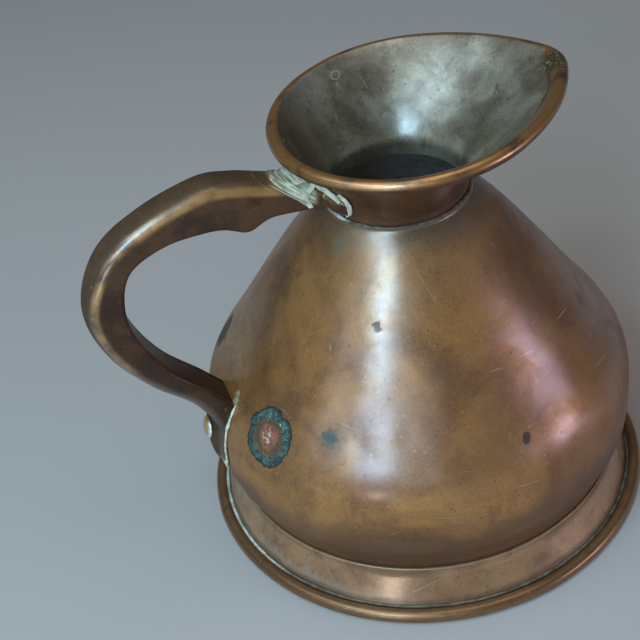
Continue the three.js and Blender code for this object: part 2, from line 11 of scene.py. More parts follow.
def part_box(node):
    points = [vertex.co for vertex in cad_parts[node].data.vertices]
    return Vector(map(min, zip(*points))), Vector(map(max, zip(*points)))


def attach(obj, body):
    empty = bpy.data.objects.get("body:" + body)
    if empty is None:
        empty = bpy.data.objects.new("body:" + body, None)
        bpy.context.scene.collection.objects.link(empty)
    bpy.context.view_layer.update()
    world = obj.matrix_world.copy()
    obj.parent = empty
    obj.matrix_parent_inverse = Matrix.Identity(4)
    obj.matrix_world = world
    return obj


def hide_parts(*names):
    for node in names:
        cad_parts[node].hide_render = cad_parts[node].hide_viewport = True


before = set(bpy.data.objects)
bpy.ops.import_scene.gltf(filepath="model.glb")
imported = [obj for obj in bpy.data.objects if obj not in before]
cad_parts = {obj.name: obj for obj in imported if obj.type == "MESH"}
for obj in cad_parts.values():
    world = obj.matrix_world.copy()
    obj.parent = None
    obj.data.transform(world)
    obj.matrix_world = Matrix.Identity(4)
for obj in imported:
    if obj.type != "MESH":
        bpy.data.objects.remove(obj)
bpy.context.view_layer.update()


# Room: a plain pale floor under soft rectangular lights. Cool panes of a window and a skylight stand
# at the left, a violet wall at the right, and a warm ceiling and near wall fill in.
def put_in_room(name, data):
    thing = bpy.data.objects.new(name, data)
    bpy.context.scene.collection.objects.link(thing)
    return thing


camera_data = bpy.data.cameras.new("camera")
camera_data.lens = 75.9375
camera_data.sensor_width = 36
camera_data.clip_start = 0.05
camera = put_in_room("camera", camera_data)
camera.location = (-0.168834, -0.53951, 0.56424)
camera.rotation_euler = Euler(np.radians((51.39560145, 6.93704179, -20.13228299)))
bpy.context.scene.camera = camera
bpy.context.scene.view_settings.view_transform = "Standard"

floor_reach = 4
floor_paint = bpy.data.materials.new("pale_floor")
floor_paint.use_nodes = True
floor_shader = floor_paint.node_tree.nodes["Principled BSDF"].inputs
floor_shader["Base Color"].default_value = (0.54, 0.53, 0.51, 1)
floor_shader["Roughness"].default_value = 0.8
floor_mesh = bpy.data.meshes.new("floor")
floor_corners = [(-1, -1), (1, -1), (1, 1), (-1, 1)]
floor_mesh.from_pydata([(x * floor_reach, y * floor_reach, 0) for x, y in floor_corners], [], [range(4)])
floor_mesh.materials.append(floor_paint)
floor = put_in_room("floor", floor_mesh)

lit_height = 0.12
window_blue, sky_blue, wall_violet = (0.46, 0.76, 1.0), (0.62, 0.84, 1.0), (0.84, 0.72, 1.0)


def room_light(name, azimuth, elevation, distance, width, height, power, tint):
    """A soft rectangular light that faces the jug. Azimuth 0 is on -Y, and turns towards +X."""
    lamp = bpy.data.lights.new(name, "AREA")
    lamp.shape = "RECTANGLE"
    lamp.size = width
    lamp.size_y = height
    lamp.energy = power
    lamp.color = tint
    holder = put_in_room(name, lamp)
    turn, rise = math.radians(azimuth), math.radians(elevation)
    away = Vector((math.sin(turn) * math.cos(rise), -math.cos(turn) * math.cos(rise), math.sin(rise)))
    holder.location = Vector((0, 0, lit_height)) + away * distance
    holder.rotation_euler = away.to_track_quat("Z", "Y").to_euler()


room_light("window", -41, 38, 1.5, 0.30, 0.62, 8.5, window_blue)
room_light("sill", -46, 23, 1.5, 0.50, 0.34, 3.4, (0.44, 0.66, 1.0))
room_light("low_window", -40, -1.5, 1.5, 0.24, 0.10, 1.6, (1.0, 0.97, 0.94))
room_light("curtain", -70, 21, 1.5, 0.4, 0.5, 0.9, (0.80, 0.90, 1.0))
room_light("near_wall", -20, 18, 1.5, 0.45, 0.40, 1.0, (1.0, 0.92, 0.80))
room_light("skylight", -76, 54, 1.6, 1.1, 0.5, 5.0, sky_blue)
room_light("upper_pane", -63, 55, 1.6, 0.24, 0.32, 2.2, sky_blue)
room_light("far_wall", 50, 6, 1.6, 0.6, 0.30, 4.4, wall_violet)
room_light("ceiling", 0, 86, 1.6, 1.2, 1.2, 5.5, (1.0, 0.92, 0.82))
world = bpy.data.worlds.new("room")
world.use_nodes = True
world.node_tree.nodes["Background"].inputs["Color"].default_value = (0.96, 0.97, 1.0, 1)
world.node_tree.nodes["Background"].inputs["Strength"].default_value = 0.085
bpy.context.scene.world = world

# Body: one raised copper sheet, a bulged cone with a short neck and a straight tail, tinned inside.
# Hammering left it slightly uneven, and its brown patina has clouds, orange flecks, fine scratches and
# one old ring of verdigris beside the handle. Sizes are millimetres from the jug's own axis.
jug_axis = sum(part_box("body_shell"), Vector()).x / 2
gap = 0.3
body_sheet = 1.2
neck_radius, neck_top, neck_height, neck_bend = 37.5, 191, 1, 0.7
shoulder, belly, crease = (np.array(place) for place in ((104.5, 99.5), (116.4, 68), (114.4, 44.5)))
waist_radius, waist_height, tail_length = 106.6, 26.2, 14
crease_bend, waist_bend = 1.6, 2.5
waist_end = waist_height - tail_length
body_steps, body_facet = 288, 1.9


def bezier(points, steps):
    t = np.linspace(0, 1, steps + 1)[:, None]
    last = len(points) - 1
    return sum(math.comb(last, i) * (1 - t) ** (last - i) * t ** i * np.asarray(p, float)
               for i, p in enumerate(points))


def unit(vector):
    return np.asarray(vector, float) / np.linalg.norm(vector)


def rounded(points, corners):
    """The line with the numbered corners rounded by a curve of the given reach."""
    line = []
    for i, p in enumerate(points):
        if i in corners:
            before, after = (p + unit(points[k] - p) * corners[i] for k in (i - 1, i + 1))
            line.extend(bezier((before, p, after), 5))
        else:
            line.append(p)
    return np.array(line)


def resampled(line, step):
    """The same line with points added wherever they stand further apart than the step."""
    dense = [line[0]]
    for a, b in zip(line, line[1:]):
        count = max(1, round(np.linalg.norm(b - a) / step))
        dense.extend(a + (b - a) * (i + 1) / count for i in range(count))
    return np.array(dense)


def body_line():
    cone_top = np.array((neck_radius, neck_top - neck_height))
    slope = unit(shoulder - cone_top)
    cone = bezier((cone_top, cone_top + (26, -26), shoulder - 32 * slope, shoulder), 76)
    swell = bezier((shoulder, shoulder + 14 * unit(cone[-1] - cone[-2]), belly + (0, 13), belly), 20)
    tuck = bezier((belly, (belly[0], crease[1] + 9), crease), 12)
    ends = [(waist_radius, waist_height), (waist_radius, waist_end)]
    line = np.vstack([[(neck_radius, neck_top)], cone[:1], cone[2:], swell[1:], tuck[1:], ends])
    last = len(line) - 1
    line = rounded(line, {1: neck_bend, last - 2: crease_bend, last - 1: waist_bend})
    return resampled(line, body_facet)


body_outline = body_line()


def moved_out(line, amount):
    """A line that runs down the outside, moved away from the axis across its own run."""
    way = np.gradient(line, axis=0)
    way /= np.linalg.norm(way, axis=1)[:, None]
    return line + np.column_stack([-way[:, 1], way[:, 0]]) * amount


def body_radius(height):
    return float(np.interp(height, body_outline[::-1, 1], body_outline[::-1, 0]))


def turned(profile, steps):
    """Points and faces of a closed profile of radii and heights, turned round the jug's axis."""
    angles = 2 * np.pi * np.arange(steps) / steps
    profile = np.asarray(profile, float)
    rings = np.stack([np.outer(np.cos(angles), profile[:, 0]), np.outer(np.sin(angles), profile[:, 0]),
                      np.tile(profile[:, 1], (steps, 1))], axis=-1)
    return skinned(rings, True)


def skinned(rings, row_closes=False):
    """Points and faces over a row of closed rings. An open row gets a face at each end."""
    rings = np.asarray(rings, float)
    count, size = rings.shape[:2]
    ids = np.arange(count * size).reshape(count, size)
    a = ids if row_closes else ids[:-1]
    b = np.roll(ids, -1, axis=0) if row_closes else ids[1:]
    faces = np.stack([a, np.roll(a, -1, axis=1), np.roll(b, -1, axis=1), b], axis=-1)
    faces = faces.reshape(-1, 4).tolist()
    if not row_closes:
        faces += [ids[0].tolist(), ids[-1][::-1].tolist()]
    return rings.reshape(-1, 3), faces


def made_piece(name, points, faces, smooth_below=35):
    """A mesh object from points in millimetres round the jug's axis."""
    mesh = bpy.data.meshes.new(name)
    place = np.asarray(points) * 0.001 + (jug_axis, 0, 0)
    mesh.from_pydata(place.tolist(), [], faces)
    whole = bmesh.new()
    whole.from_mesh(mesh)
    bmesh.ops.recalc_face_normals(whole, faces=whole.faces)
    whole.to_mesh(mesh)
    whole.free()
    return smooth(put_in_room(name, mesh), smooth_below)


def smooth(piece, below=40):
    piece.data.shade_smooth()
    piece.data.set_sharp_from_angle(angle=math.radians(below))
    return piece


def mark_points(piece, name, values):
    """Writes one value for each point of a piece, for its finish to read."""
    piece.data.attributes.new(name, "FLOAT", "POINT").data.foreach_set("value", values)


def uneven(points, size, depth, start=0.0):
    """How far the hammer left each point in or out: smooth hills and hollows of a size."""
    return np.array([depth * noise.noise(Vector(p) / size + Vector((start, 0, 0))) for p in points])


def pushed_out(points, amount):
    """The points moved straight away from the jug's axis, each by its own amount."""
    points[:, :2] *= (1 + amount / np.hypot(points[:, 0], points[:, 1]))[:, None]
    return points


def wall_spot(turn, height):
    """A place on the body. Turn is in degrees from the handle towards the camera's side."""
    radius = body_radius(height)
    angle = math.radians(turn)
    return np.array((-radius * math.cos(angle), -radius * math.sin(angle), height))


def room_place(spot):
    return Vector(np.asarray(spot) * 0.001) + Vector((jug_axis, 0, 0))


# Dents: turn, height, radius and depth.
body_dents = [(44, 74, 13, 0.5), (52, 106, 11, 0.35), (66, 110, 9, 0.3), (34, 56, 10, 0.4),
              (84, 86, 14, 0.3), (12, 132, 12, 0.35), (96, 124, 12, 0.25), (128, 92, 16, 0.4),
              (176, 84, 14, 0.35), (-60, 96, 15, 0.45), (-105, 120, 12, 0.3), (-150, 70, 15, 0.4)]
ring_spot, ring_radius, ring_core = wall_spot(23.4, 96.5), 16.0, 7.4
pale_scratch, gold_scratch, dark_scratch = (0.62, 0.55, 0.42), (0.5, 0.3, 0.1), (0.07, 0.045, 0.03)
# Scratches: both ends in the room's millimetres, width and colour.
body_scratches = (
    ((-36.8, -45.0, 144), (-37.6, -47.6, 139), 0.5, pale_scratch),
    ((-35.6, -46.2, 142), (-38.4, -46.4, 138.5), 0.4, pale_scratch),
    ((-38.0, -49.0, 137), (-38.2, -49.4, 135.5), 0.6, pale_scratch),
    ((-61, 30, 122), (-71, 16, 113), 0.5, gold_scratch),
    ((-71, 16, 113), (-78, 0, 105), 0.5, gold_scratch),
    ((-45, -49, 129), (-41, -55.5, 127.5), 0.4, dark_scratch),
    ((-41, -55.5, 127.5), (-36.5, -61, 127.5), 0.4, dark_scratch),
    ((-36.5, -61, 127.5), (-28, -65.5, 130), 0.4, dark_scratch),
    ((60, -80, 118), (78, -66, 112), 0.5, pale_scratch),
    ((20, -96, 110), (34, -98, 101), 0.4, pale_scratch),
    ((-20, 78, 128), (6, 84, 120), 0.5, pale_scratch),
    ((96, 40, 104), (104, 22, 98), 0.5, pale_scratch),
)
black_spot, pale_streak = (0.035, 0.032, 0.020), (0.42, 0.42, 0.27)
# Stains: turn, height, radius, how ragged and how soft the edge is, colour and strength.
body_stains = (
    (43.3, 106.5, 7.2, 1.2, 0.9, (0.030, 0.090, 0.095), 0.90),
    (99.3, 98.8, 2.7, 0.2, 0.3, black_spot, 0.92),
    (98.7, 97.4, 2.4, 0.2, 0.3, black_spot, 0.92),
    (56.4, 154.5, 3.0, 1.3, 0.4, (0.10, 0.055, 0.03), 0.85),
    (5.0, 101.4, 2.6, 1.2, 0.6, pale_streak, 0.85),
    (5.6, 98.4, 3.6, 1.2, 0.6, pale_streak, 0.85),
    (-27.7, 99.0, 12.0, 0.5, 0.4, (0.035, 0.04, 0.038), 0.9),
    (28.0, 182.0, 8.0, 0.9, 0.9, (0.08, 0.12, 0.09), 0.5),
    (34.0, 114.0, 6.0, 0.8, 0.9, (0.35, 0.17, 0.04), 0.6),
    (150.0, 120.0, 7.0, 0.6, 0.8, (0.07, 0.065, 0.05), 0.6),
    (-120.0, 88.0, 12.0, 0.6, 0.8, (0.08, 0.07, 0.045), 0.6),
    (205.0, 70.0, 6.0, 0.5, 0.5, (0.04, 0.07, 0.065), 0.7),
)


def make_body():
    inside = moved_out(body_outline, -body_sheet)
    points, faces = turned(np.vstack([body_outline, inside[::-1]]), body_steps)
    # The hammer marks, the dents and the ring's crust run out before the neck and above the tail.
    height = points[:, 2]
    fade = np.clip((neck_top - 4 - height) / 20, 0, 1) * np.clip((height - 30) / 12, 0, 1)
    depth = uneven(points, 34, 0.42) + uneven(points, 15, 0.12, 7.3)
    for turn, level, radius, drop in body_dents:
        away = np.linalg.norm(points - wall_spot(turn, level), axis=1) / radius
        depth -= drop * np.exp(-away ** 2 * 2)
    crust = np.linalg.norm(points - ring_spot, axis=1)
    depth += 0.55 * np.exp(-(crust / 3.6) ** 2) + 0.16 * np.exp(-((crust - 10.5) / 2.6) ** 2)
    piece = made_piece("body_wall", pushed_out(points, depth * fade), faces)
    mark_points(piece, "tinned", np.tile(np.repeat((0.0, 1.0), len(body_outline)), body_steps))
    return piece


class Signal:
    """A value, colour or place that varies over a surface. Sums and products give new signals."""

    def __init__(self, socket):
        self.socket = socket
        self.tree = socket.id_data

    def __add__(self, other):
        return calc("ADD", self, other)

    def __sub__(self, other):
        return calc("SUBTRACT", self, other)

    def __rsub__(self, other):
        return calc("SUBTRACT", other, self)

    def __mul__(self, other):
        return calc("MULTIPLY", self, other)

    def __truediv__(self, other):
        return calc("DIVIDE", self, other)


def feed(socket, value):
    """Feeds a socket from a signal, or sets a plain value. A colour is its red, green and blue."""
    if isinstance(value, Signal):
        value.tree.links.new(value.socket, socket)
    else:
        socket.default_value = (*value, 1) if socket.type == "RGBA" else value


def shader_node(kind, feeds, *outputs, tree=None, **settings):
    """Adds a shader node fed by signals and plain values, and gives the outputs that are asked for."""
    tree = tree or next(value.tree for value in feeds.values() if isinstance(value, Signal))
    node = tree.nodes.new("ShaderNode" + kind)
    for name, value in settings.items():
        setattr(node, name, value)
    for name, value in feeds.items():
        feed(node.inputs[name], value)
    signals = [Signal(node.outputs[name]) for name in outputs]
    return signals if len(signals) > 1 else signals[0]


def calc(operation, *values, clamp=False):
    return shader_node("Math", dict(enumerate(values)), 0, operation=operation, use_clamp=clamp)


def larger(a, b):
    return calc("MAXIMUM", a, b)


def vector(operation, a, b, output="Vector"):
    return shader_node("VectorMath", {0: a, 1: b}, output, operation=operation)


def split(place):
    return shader_node("SeparateXYZ", {"Vector": place}, "X", "Y", "Z")


def ramp(value, low, high, to_low=0.0, to_high=1.0):
    """Runs smoothly from one value to the other while the input passes from low to high."""
    return shader_node("MapRange", {"Value": value, "From Min": low, "From Max": high, "To Min": to_low,
                                    "To Max": to_high}, 0, interpolation_type="SMOOTHSTEP")


def cloud(place, scale, detail=3.0, rough=0.5, bend=0.0):
    return shader_node("TexNoise", {"Vector": place, "Scale": scale, "Detail": detail,
                                    "Roughness": rough, "Distortion": bend}, 0)


def stretched(place, scale, shift=(0.0, 0.0, 0.0)):
    return shader_node("Mapping", {"Vector": place, "Scale": scale, "Location": shift}, 0)


def blended(colour, *layers):
    """A colour with others laid over it in turn, each by its share of the surface.

    Of the mixing node's sockets that share a name, 6, 7 and 2 are the ones for colours.
    """
    for tint, share in layers:
        colour = shader_node("Mix", {0: share, 6: colour, 7: tint}, 2, data_type="RGBA")
    return colour


def shader_group(inputs, outputs):
    """Builds a node group from a formula of signals. A call of the formula then places the group.

    Inputs and outputs are kinds of socket, each with its labels.
    """
    def build(formula):
        tree = bpy.data.node_groups.new(formula.__name__, "ShaderNodeTree")
        labels = {"INPUT": [], "OUTPUT": []}
        for side, kinds in (("INPUT", inputs), ("OUTPUT", outputs)):
            for kind, words in kinds.items():
                for label in words.split():
                    tree.interface.new_socket(label, in_out=side, socket_type="NodeSocket" + kind)
                    labels[side].append(label)
        given = tree.nodes.new("NodeGroupInput").outputs
        out = tree.nodes.new("NodeGroupOutput").inputs
        results = formula(*[Signal(given[label]) for label in labels["INPUT"]])
        for label, signal in zip(labels["OUTPUT"], results):
            feed(out[label], signal)

        def placed(*values):
            feeds = dict(zip(labels["INPUT"], values))
            return shader_node("Group", feeds, *labels["OUTPUT"], node_tree=tree)
        return placed
    return build


def rare_dots(place, scale, core, channel, rarity):
    """Small round dots in a few of the cells that the surface is divided into."""
    away, draw = shader_node("TexVoronoi", {"Vector": place, "Scale": scale}, "Distance", "Color")
    odd = shader_node("SeparateColor", {"Color": draw}, channel)
    return ramp(away, 0.24, core) * ramp(odd, rarity, rarity + 0.04)


@shader_group({"Vector": "Place", "Color": "Brown Gold Dark Fleck", "Float": "Clouds Stains"},
              {"Color": "Colour", "Float": "Roughness Height"})
def aged_copper(place, brown, gold, dark, fleck, clouds, stains):
    """Brown patina over copper: broad clouds, smaller stains, orange flecks and dark pits."""
    broad = cloud(place, clouds, 5.0, 0.55, 0.6)
    small = cloud(place, clouds * 3.4, 6.0, 0.62, 0.3)
    grain = cloud(place, 900.0, 3.0, 0.6)
    wiped = cloud(stretched(place, (160.0, 160.0, 22.0)), 1.0, 3.0, 0.55, 0.3)
    pit = rare_dots(place, 330.0, 0.10, "Green", 0.84)
    colour = blended(
        brown, (gold, ramp(broad, 0.36, 0.64)), (dark, ramp(small, 0.50, 0.74) * stains),
        (gold, ramp(grain, 0.50, 0.78, 0.0, 0.55)), (dark, ramp(grain, 0.48, 0.26, 0.0, 0.5)),
        (dark, ramp(wiped, 0.55, 0.75, 0.0, 0.22)),
        (fleck, rare_dots(place, 260.0, 0.08, "Red", 0.80) * 0.75), (dark, pit * 0.8))
    return colour, small * 0.22 + 0.22 + pit * 0.2, grain * 0.35 - pit * 0.6 + small * 0.8


@shader_group({"Vector": "Place Centre", "Float": "Radius Ragged Soft Frays"}, {"Float": "Mask Distance"})
def ragged_spot(place, centre, radius, ragged, soft, frays):
    """A stain's mask, one inside and zero outside, and the distance from its middle as a share."""
    fray = (cloud(place, frays, 5.0, 0.6) - 0.5) * (ragged * 2.0)
    share = vector("DISTANCE", place, centre, "Value") / radius + fray
    return ramp(share, 1.0, 1.0 - soft), share


@shader_group({"Vector": "Place", "Float": "Amount"}, {"Float": "Mask"})
def fine_scratches(place, amount):
    """Thin bright rubs that run every way, from wiping and handling."""
    total = 0.0
    for turn, lift, shift in ((0.5, 0.3, 0.0), (2.1, -0.6, 3.1), (1.2, 1.1, 6.7)):
        spun = shader_node("VectorRotate", {"Vector": place, "Rotation": (lift, turn, turn)}, 0,
                           rotation_type="EULER_XYZ")
        thin = cloud(stretched(spun, (900.0, 26.0, 26.0), (shift, 0.0, 0.0)), 1.0, 2.0, 0.5)
        total = larger(ramp(thin, 0.69, 0.76) * ramp(cloud(spun, 60.0 + shift, 2.0), 0.5, 0.62), total)
    return [total * amount]


@shader_group({"Vector": "Place From To", "Float": "Width"}, {"Float": "Mask"})
def scratch_line(place, start, end, width):
    """One scratch between two places."""
    run, here = vector("SUBTRACT", end, start), vector("SUBTRACT", place, start)
    share = calc("DIVIDE", vector("DOT_PRODUCT", here, run, "Value"),
                 vector("DOT_PRODUCT", run, run, "Value"), clamp=True)
    nearest = shader_node("VectorMath", {0: run, "Scale": share}, "Vector", operation="SCALE")
    worn = width * ramp(cloud(place, 300.0), 0.3, 0.6)
    return [ramp(vector("DISTANCE", here, nearest, "Value"), worn, 0.0)]


@shader_group({"Vector": "Place Centre", "Float": "Radius Width"}, {"Float": "Mask"})
def scratch_ring(place, centre, radius, width):
    """A thin ring scratched into the surface round a place."""
    wobble = (cloud(place, 220.0) - 0.5) * 0.004
    off = vector("DISTANCE", place, centre, "Value") - radius + wobble
    return [ramp(calc("ABSOLUTE", off), width, 0.0)]


def start_finish(name, metallic, coat, index=1.5):
    """A new material with a soft gloss on it, its shader's inputs and the place on the object."""
    material = bpy.data.materials.new(name)
    material.use_nodes = True
    shader = material.node_tree.nodes["Principled BSDF"].inputs
    for label, value in (("Metallic", metallic), ("IOR", index), ("Coat Weight", coat),
                         ("Coat Roughness", 0.26), ("Coat IOR", 1.8)):
        shader[label].default_value = value
    return material, shader, shader_node("TexCoord", {}, "Object", tree=material.node_tree)


def marked(place, name):
    """The values that a piece's points were marked with."""
    return shader_node("Attribute", {}, "Fac", tree=place.tree, attribute_name=name)


def lay_finish(shader, colour, rough, relief, depth, metal=None, gloss=None):
    """Leads the signals to the shader. The relief stands up by a depth in metres."""
    bump = shader_node("Bump", {"Height": relief, "Distance": depth, "Strength": 1.0}, "Normal")
    for label, signal in (("Base Color", colour), ("Roughness", rough), ("Normal", bump),
                          ("Metallic", metal), ("Coat Weight", gloss)):
        if signal:
            feed(shader[label], signal)


def verdigris_ring(place, colour):
    """Lays the ring on a colour. Also gives the masks of its crust and of the ground inside."""
    centre = room_place(ring_spot)
    mask, share = ragged_spot(place, centre, ring_radius * 0.001, 0.26, 0.05, 150.0)
    core, core_share = ragged_spot(place, centre, ring_core * 0.001, 0.35, 0.3, 260.0)
    crust, inner = mask * ramp(share, 0.56, 0.64), mask * ramp(share, 0.64, 0.56)
    grit = ramp(cloud(place, 1100.0, 3.0, 0.6), 0.57, 0.66) * ramp(cloud(place, 160.0, 3.0), 0.42, 0.56)
    teal = blended((0.014, 0.036, 0.032),
                   ((0.055, 0.150, 0.130), ramp(cloud(place, 330.0, 6.0, 0.7), 0.38, 0.66)),
                   ((0.32, 0.55, 0.50), grit), ((0.010, 0.018, 0.018), mask * ramp(share, 0.86, 0.92)))
    dusky = blended((0.11, 0.060, 0.030),
                    ((0.040, 0.046, 0.032), ramp(cloud(place, 260.0, 5.0, 0.6), 0.40, 0.62)))
    rosy = blended((0.36, 0.115, 0.055),
                   ((0.13, 0.075, 0.045), ramp(cloud(place, 420.0, 4.0), 0.44, 0.66)))
    # Pale speckles at the middle of the rosy core: a painted glint on its little dome.
    painted_glint = ramp(core_share, 0.62, 0.40) * ramp(cloud(place, 700.0, 4.0), 0.50, 0.58)
    colour = blended(colour, (dusky, inner * 0.85), (teal, crust * 0.95), (rosy, core),
                     ((0.46, 0.50, 0.36), painted_glint))
    return colour, crust, inner


def body_finish():
    material, shader, place = start_finish("body_patina", 0.4, 0.6)
    colour, rough, relief = aged_copper(place, (0.23, 0.108, 0.040), (0.46, 0.226, 0.070),
                                        (0.075, 0.036, 0.019), (0.56, 0.26, 0.07), 19.0, 0.45)
    tin = aged_copper(place, (0.74, 0.79, 0.80), (0.88, 0.92, 0.93), (0.30, 0.28, 0.24),
                      (0.5, 0.45, 0.35), 40.0, 0.6)[0]
    x, _, height = split(place)
    redder = x + (cloud(place, 16.0, 4.0) - 0.5) * 0.14
    wander = (cloud(place, 30.0, 3.0) - 0.5) * 0.010
    low = height + wander
    # Painted shade: the body is darker and rougher just above the foot, where the two meet, partly as
    # grime.
    waist_shade_and_grime = ramp(height + cloud(place, 120.0, 4.0) * 0.006, 0.0345, 0.0290)
    under_neck = ramp(height + wander * 1.3, 0.176, 0.190)
    colour = blended(
        colour, ((0.21, 0.092, 0.044), ramp(redder, 0.0, 0.10, 0.0, 0.6)),
        ((0.55, 0.42, 0.25), fine_scratches(place, 0.6)),
        # Darker below the belly's crease: painted shade, partly dirt.
        ((0.125, 0.058, 0.030), ramp(low, 0.068, 0.050, 0.0, 0.7)),
        ((0.05, 0.032, 0.02), waist_shade_and_grime * 0.7), ((0.10, 0.10, 0.08), under_neck * 0.55))

    stained = 0.0
    for turn, level, radius, ragged, soft, tint, strength in body_stains:
        frays = 160.0 + 200.0 * (ragged > 1)
        centre = room_place(wall_spot(turn, level))
        spot = ragged_spot(place, centre, radius * 0.001, ragged, soft, frays)[0] * strength
        colour = blended(colour, (tint, spot))
        stained = larger(spot, stained)
    for start, end, width, tint in body_scratches:
        line = scratch_line(place, Vector(start) * 0.001, Vector(end) * 0.001, width * 0.001)
        colour = blended(colour, (tint, line * 0.8))
    colour, crust, inner = verdigris_ring(place, colour)
    colour = blended(colour, (tin, marked(place, "tinned")))

    # A thin haze lies on the upper body. It fades low down, at the edges and under stains and crust.
    patches = larger(larger(crust, inner), stained * 0.8)
    glancing = shader_node("LayerWeight", {"Blend": 0.5}, "Facing", tree=place.tree)
    haze = ramp(cloud(place, 34.0, 5.0, 0.6, 0.4), 0.34, 0.58, 0.15, 1.0)
    haze = haze * ramp(low, 0.076, 0.098, 0.15, 1.0) * ramp(glancing, 0.55, 0.90, 1.0, 0.15)
    rough = rough + patches * 0.3 + waist_shade_and_grime * 0.2 + ramp(low, 0.100, 0.078, 0.0, 0.16)
    relief = relief + crust * (cloud(place, 500.0, 4.0) * 5.0)
    gloss = haze * (1.0 - patches * 0.95)
    lay_finish(shader, colour, rough, relief, 0.00012, patches * -0.38 + 0.4, gloss)
    return material


body = make_body()
body.data.materials.append(body_finish())
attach(body, "root")
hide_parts("body_shell")

# Base pan: a copper disc with a turned down flange, let into the body's tail and soldered there. It
# is duller than the rest, and stained under the foot.
pan_sheet, pan_height, pan_rise, pan_corner, pan_steps = 1.2, 20, 1.5, 3, 128
pan_radius = waist_radius - body_sheet - gap


def arc(centre, radius, start, end, steps):
    angles = np.linspace(start, end, steps + 1)
    return np.asarray(centre) + radius * np.column_stack([np.cos(angles), np.sin(angles)])


def turned_disc(profile, steps):
    """As turned, for a profile whose ends lie on the axis."""
    points, faces = turned(profile[1:-1], steps)
    size = len(profile) - 2
    low, high = len(points), len(points) + 1
    points = np.vstack([points, (0, 0, profile[0][1]), (0, 0, profile[-1][1])])
    faces = [f for f in faces if not {f[0] % size, f[1] % size} == {0, size - 1}]
    for i in range(steps):
        a, b = i * size, ((i + 1) * size) % (steps * size)
        faces.append((low, a, b))
        faces.append((high, b + size - 1, a + size - 1))
    return points, faces


def make_base_pan():
    corner = (pan_radius - pan_corner, pan_height - pan_corner)
    rise = np.linspace(0, 1, 30)[:, None]
    under = np.hstack([rise * corner[0], pan_height - pan_sheet + pan_rise * (1 - rise ** 2)])
    upper = under + (0, pan_sheet)
    profile = np.vstack([
        under[:-1], arc(corner, pan_corner - pan_sheet, math.pi / 2, 0, 6),
        [(pan_radius - pan_sheet, waist_end), (pan_radius, waist_end)],
        arc(corner, pan_corner, 0, math.pi / 2, 6), upper[-2::-1]])
    points, faces = turned_disc(profile, pan_steps)
    inside = np.clip(1 - np.hypot(points[:, 0], points[:, 1]) / corner[0], 0, 1)
    points[:, 2] += uneven(points * (1, 1, 0), 28, 0.8) * np.clip(inside * 4, 0, 1)
    return made_piece("base_disc", points, faces)


def dull_copper(name, brown, gold):
    material, shader, place = start_finish(name, 0.4, 0.15)
    colour, rough, relief = aged_copper(place, brown, gold, (0.04, 0.026, 0.018), (0.12, 0.16, 0.12),
                                        30.0, 0.8)
    lay_finish(shader, colour, rough + 0.15, relief, 0.0003)
    return material


base_pan = make_base_pan()
base_pan.data.materials.append(dull_copper("base_patina", (0.24, 0.145, 0.08), (0.36, 0.21, 0.11)))
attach(base_pan, "root")
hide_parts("base_pan")

# Foot: a flared copper skirt that laps the body's tail. Its lower edge is rolled outwards over an
# iron wire into a bead, worn flat underneath and rubbed bright on the outside.
foot_radius, foot_sheet, foot_wire_size, foot_wear = 123.5, 1.2, 4.5, 0.25
skirt_lap, foot_steps = 4.5, 256
foot_half = foot_sheet / 2
foot_roll = foot_wire_size / 2 + gap + foot_half
foot_bead = foot_roll + foot_half
foot_centre = np.array((foot_radius - foot_bead, foot_bead - foot_wear))
skirt_knee = np.array((waist_radius + gap + foot_half, waist_height - skirt_lap))
knee_run = foot_centre - skirt_knee
skirt_lean = math.atan2(knee_run[0], -knee_run[1]) - math.asin(foot_roll / np.hypot(*knee_run))


def roll_opening(radius, sheet):
    return math.acos((radius - sheet / 2 - gap) / (radius + sheet / 2))


def make_foot():
    start = math.pi + skirt_lean
    end = start + 2 * math.pi - roll_opening(foot_roll, foot_sheet)
    flat, bottom = math.acos(foot_centre[1] / foot_bead), 1.5 * math.pi
    miter = foot_half * math.tan(skirt_lean / 2)
    inner_top, inner_knee, outer_top, outer_knee = (
        np.array((skirt_knee[0] + side, height))
        for side, knee in ((-foot_half, skirt_knee[1] - miter), (foot_half, skirt_knee[1] + miter))
        for height in (waist_height, knee))
    bead = np.vstack([arc(foot_centre, foot_bead, start, bottom - flat, 8),
                      arc(foot_centre, foot_bead, bottom + flat, end, 26)])
    inner = arc(foot_centre, foot_roll - foot_half, end, start, 20)
    under = resampled(rounded(np.vstack([[inner_top, inner_knee], bead[:1]]), {1: 1.5}), 1.5)
    over = resampled(rounded(np.vstack([inner[-1:], [outer_knee, outer_top]]), {1: 1.8}), 1.2)
    top = rounded(np.vstack([over[-2:], [inner_top], under[1:2]]), {1: 0.3, 2: 0.3})
    points, faces = turned(np.vstack([under[1:], bead[1:], inner[:-1], over[:-1], top[1:-1]]), foot_steps)
    free = np.clip((waist_height - 6 - points[:, 2]) / 8, 0, 1) * np.clip(points[:, 2] / 2, 0, 1)
    shift = (uneven(points, 30, 0.28, 2.0) + uneven(points, 11, 0.07, 9.0)) * free
    return made_piece("foot_band", pushed_out(points, shift), faces)


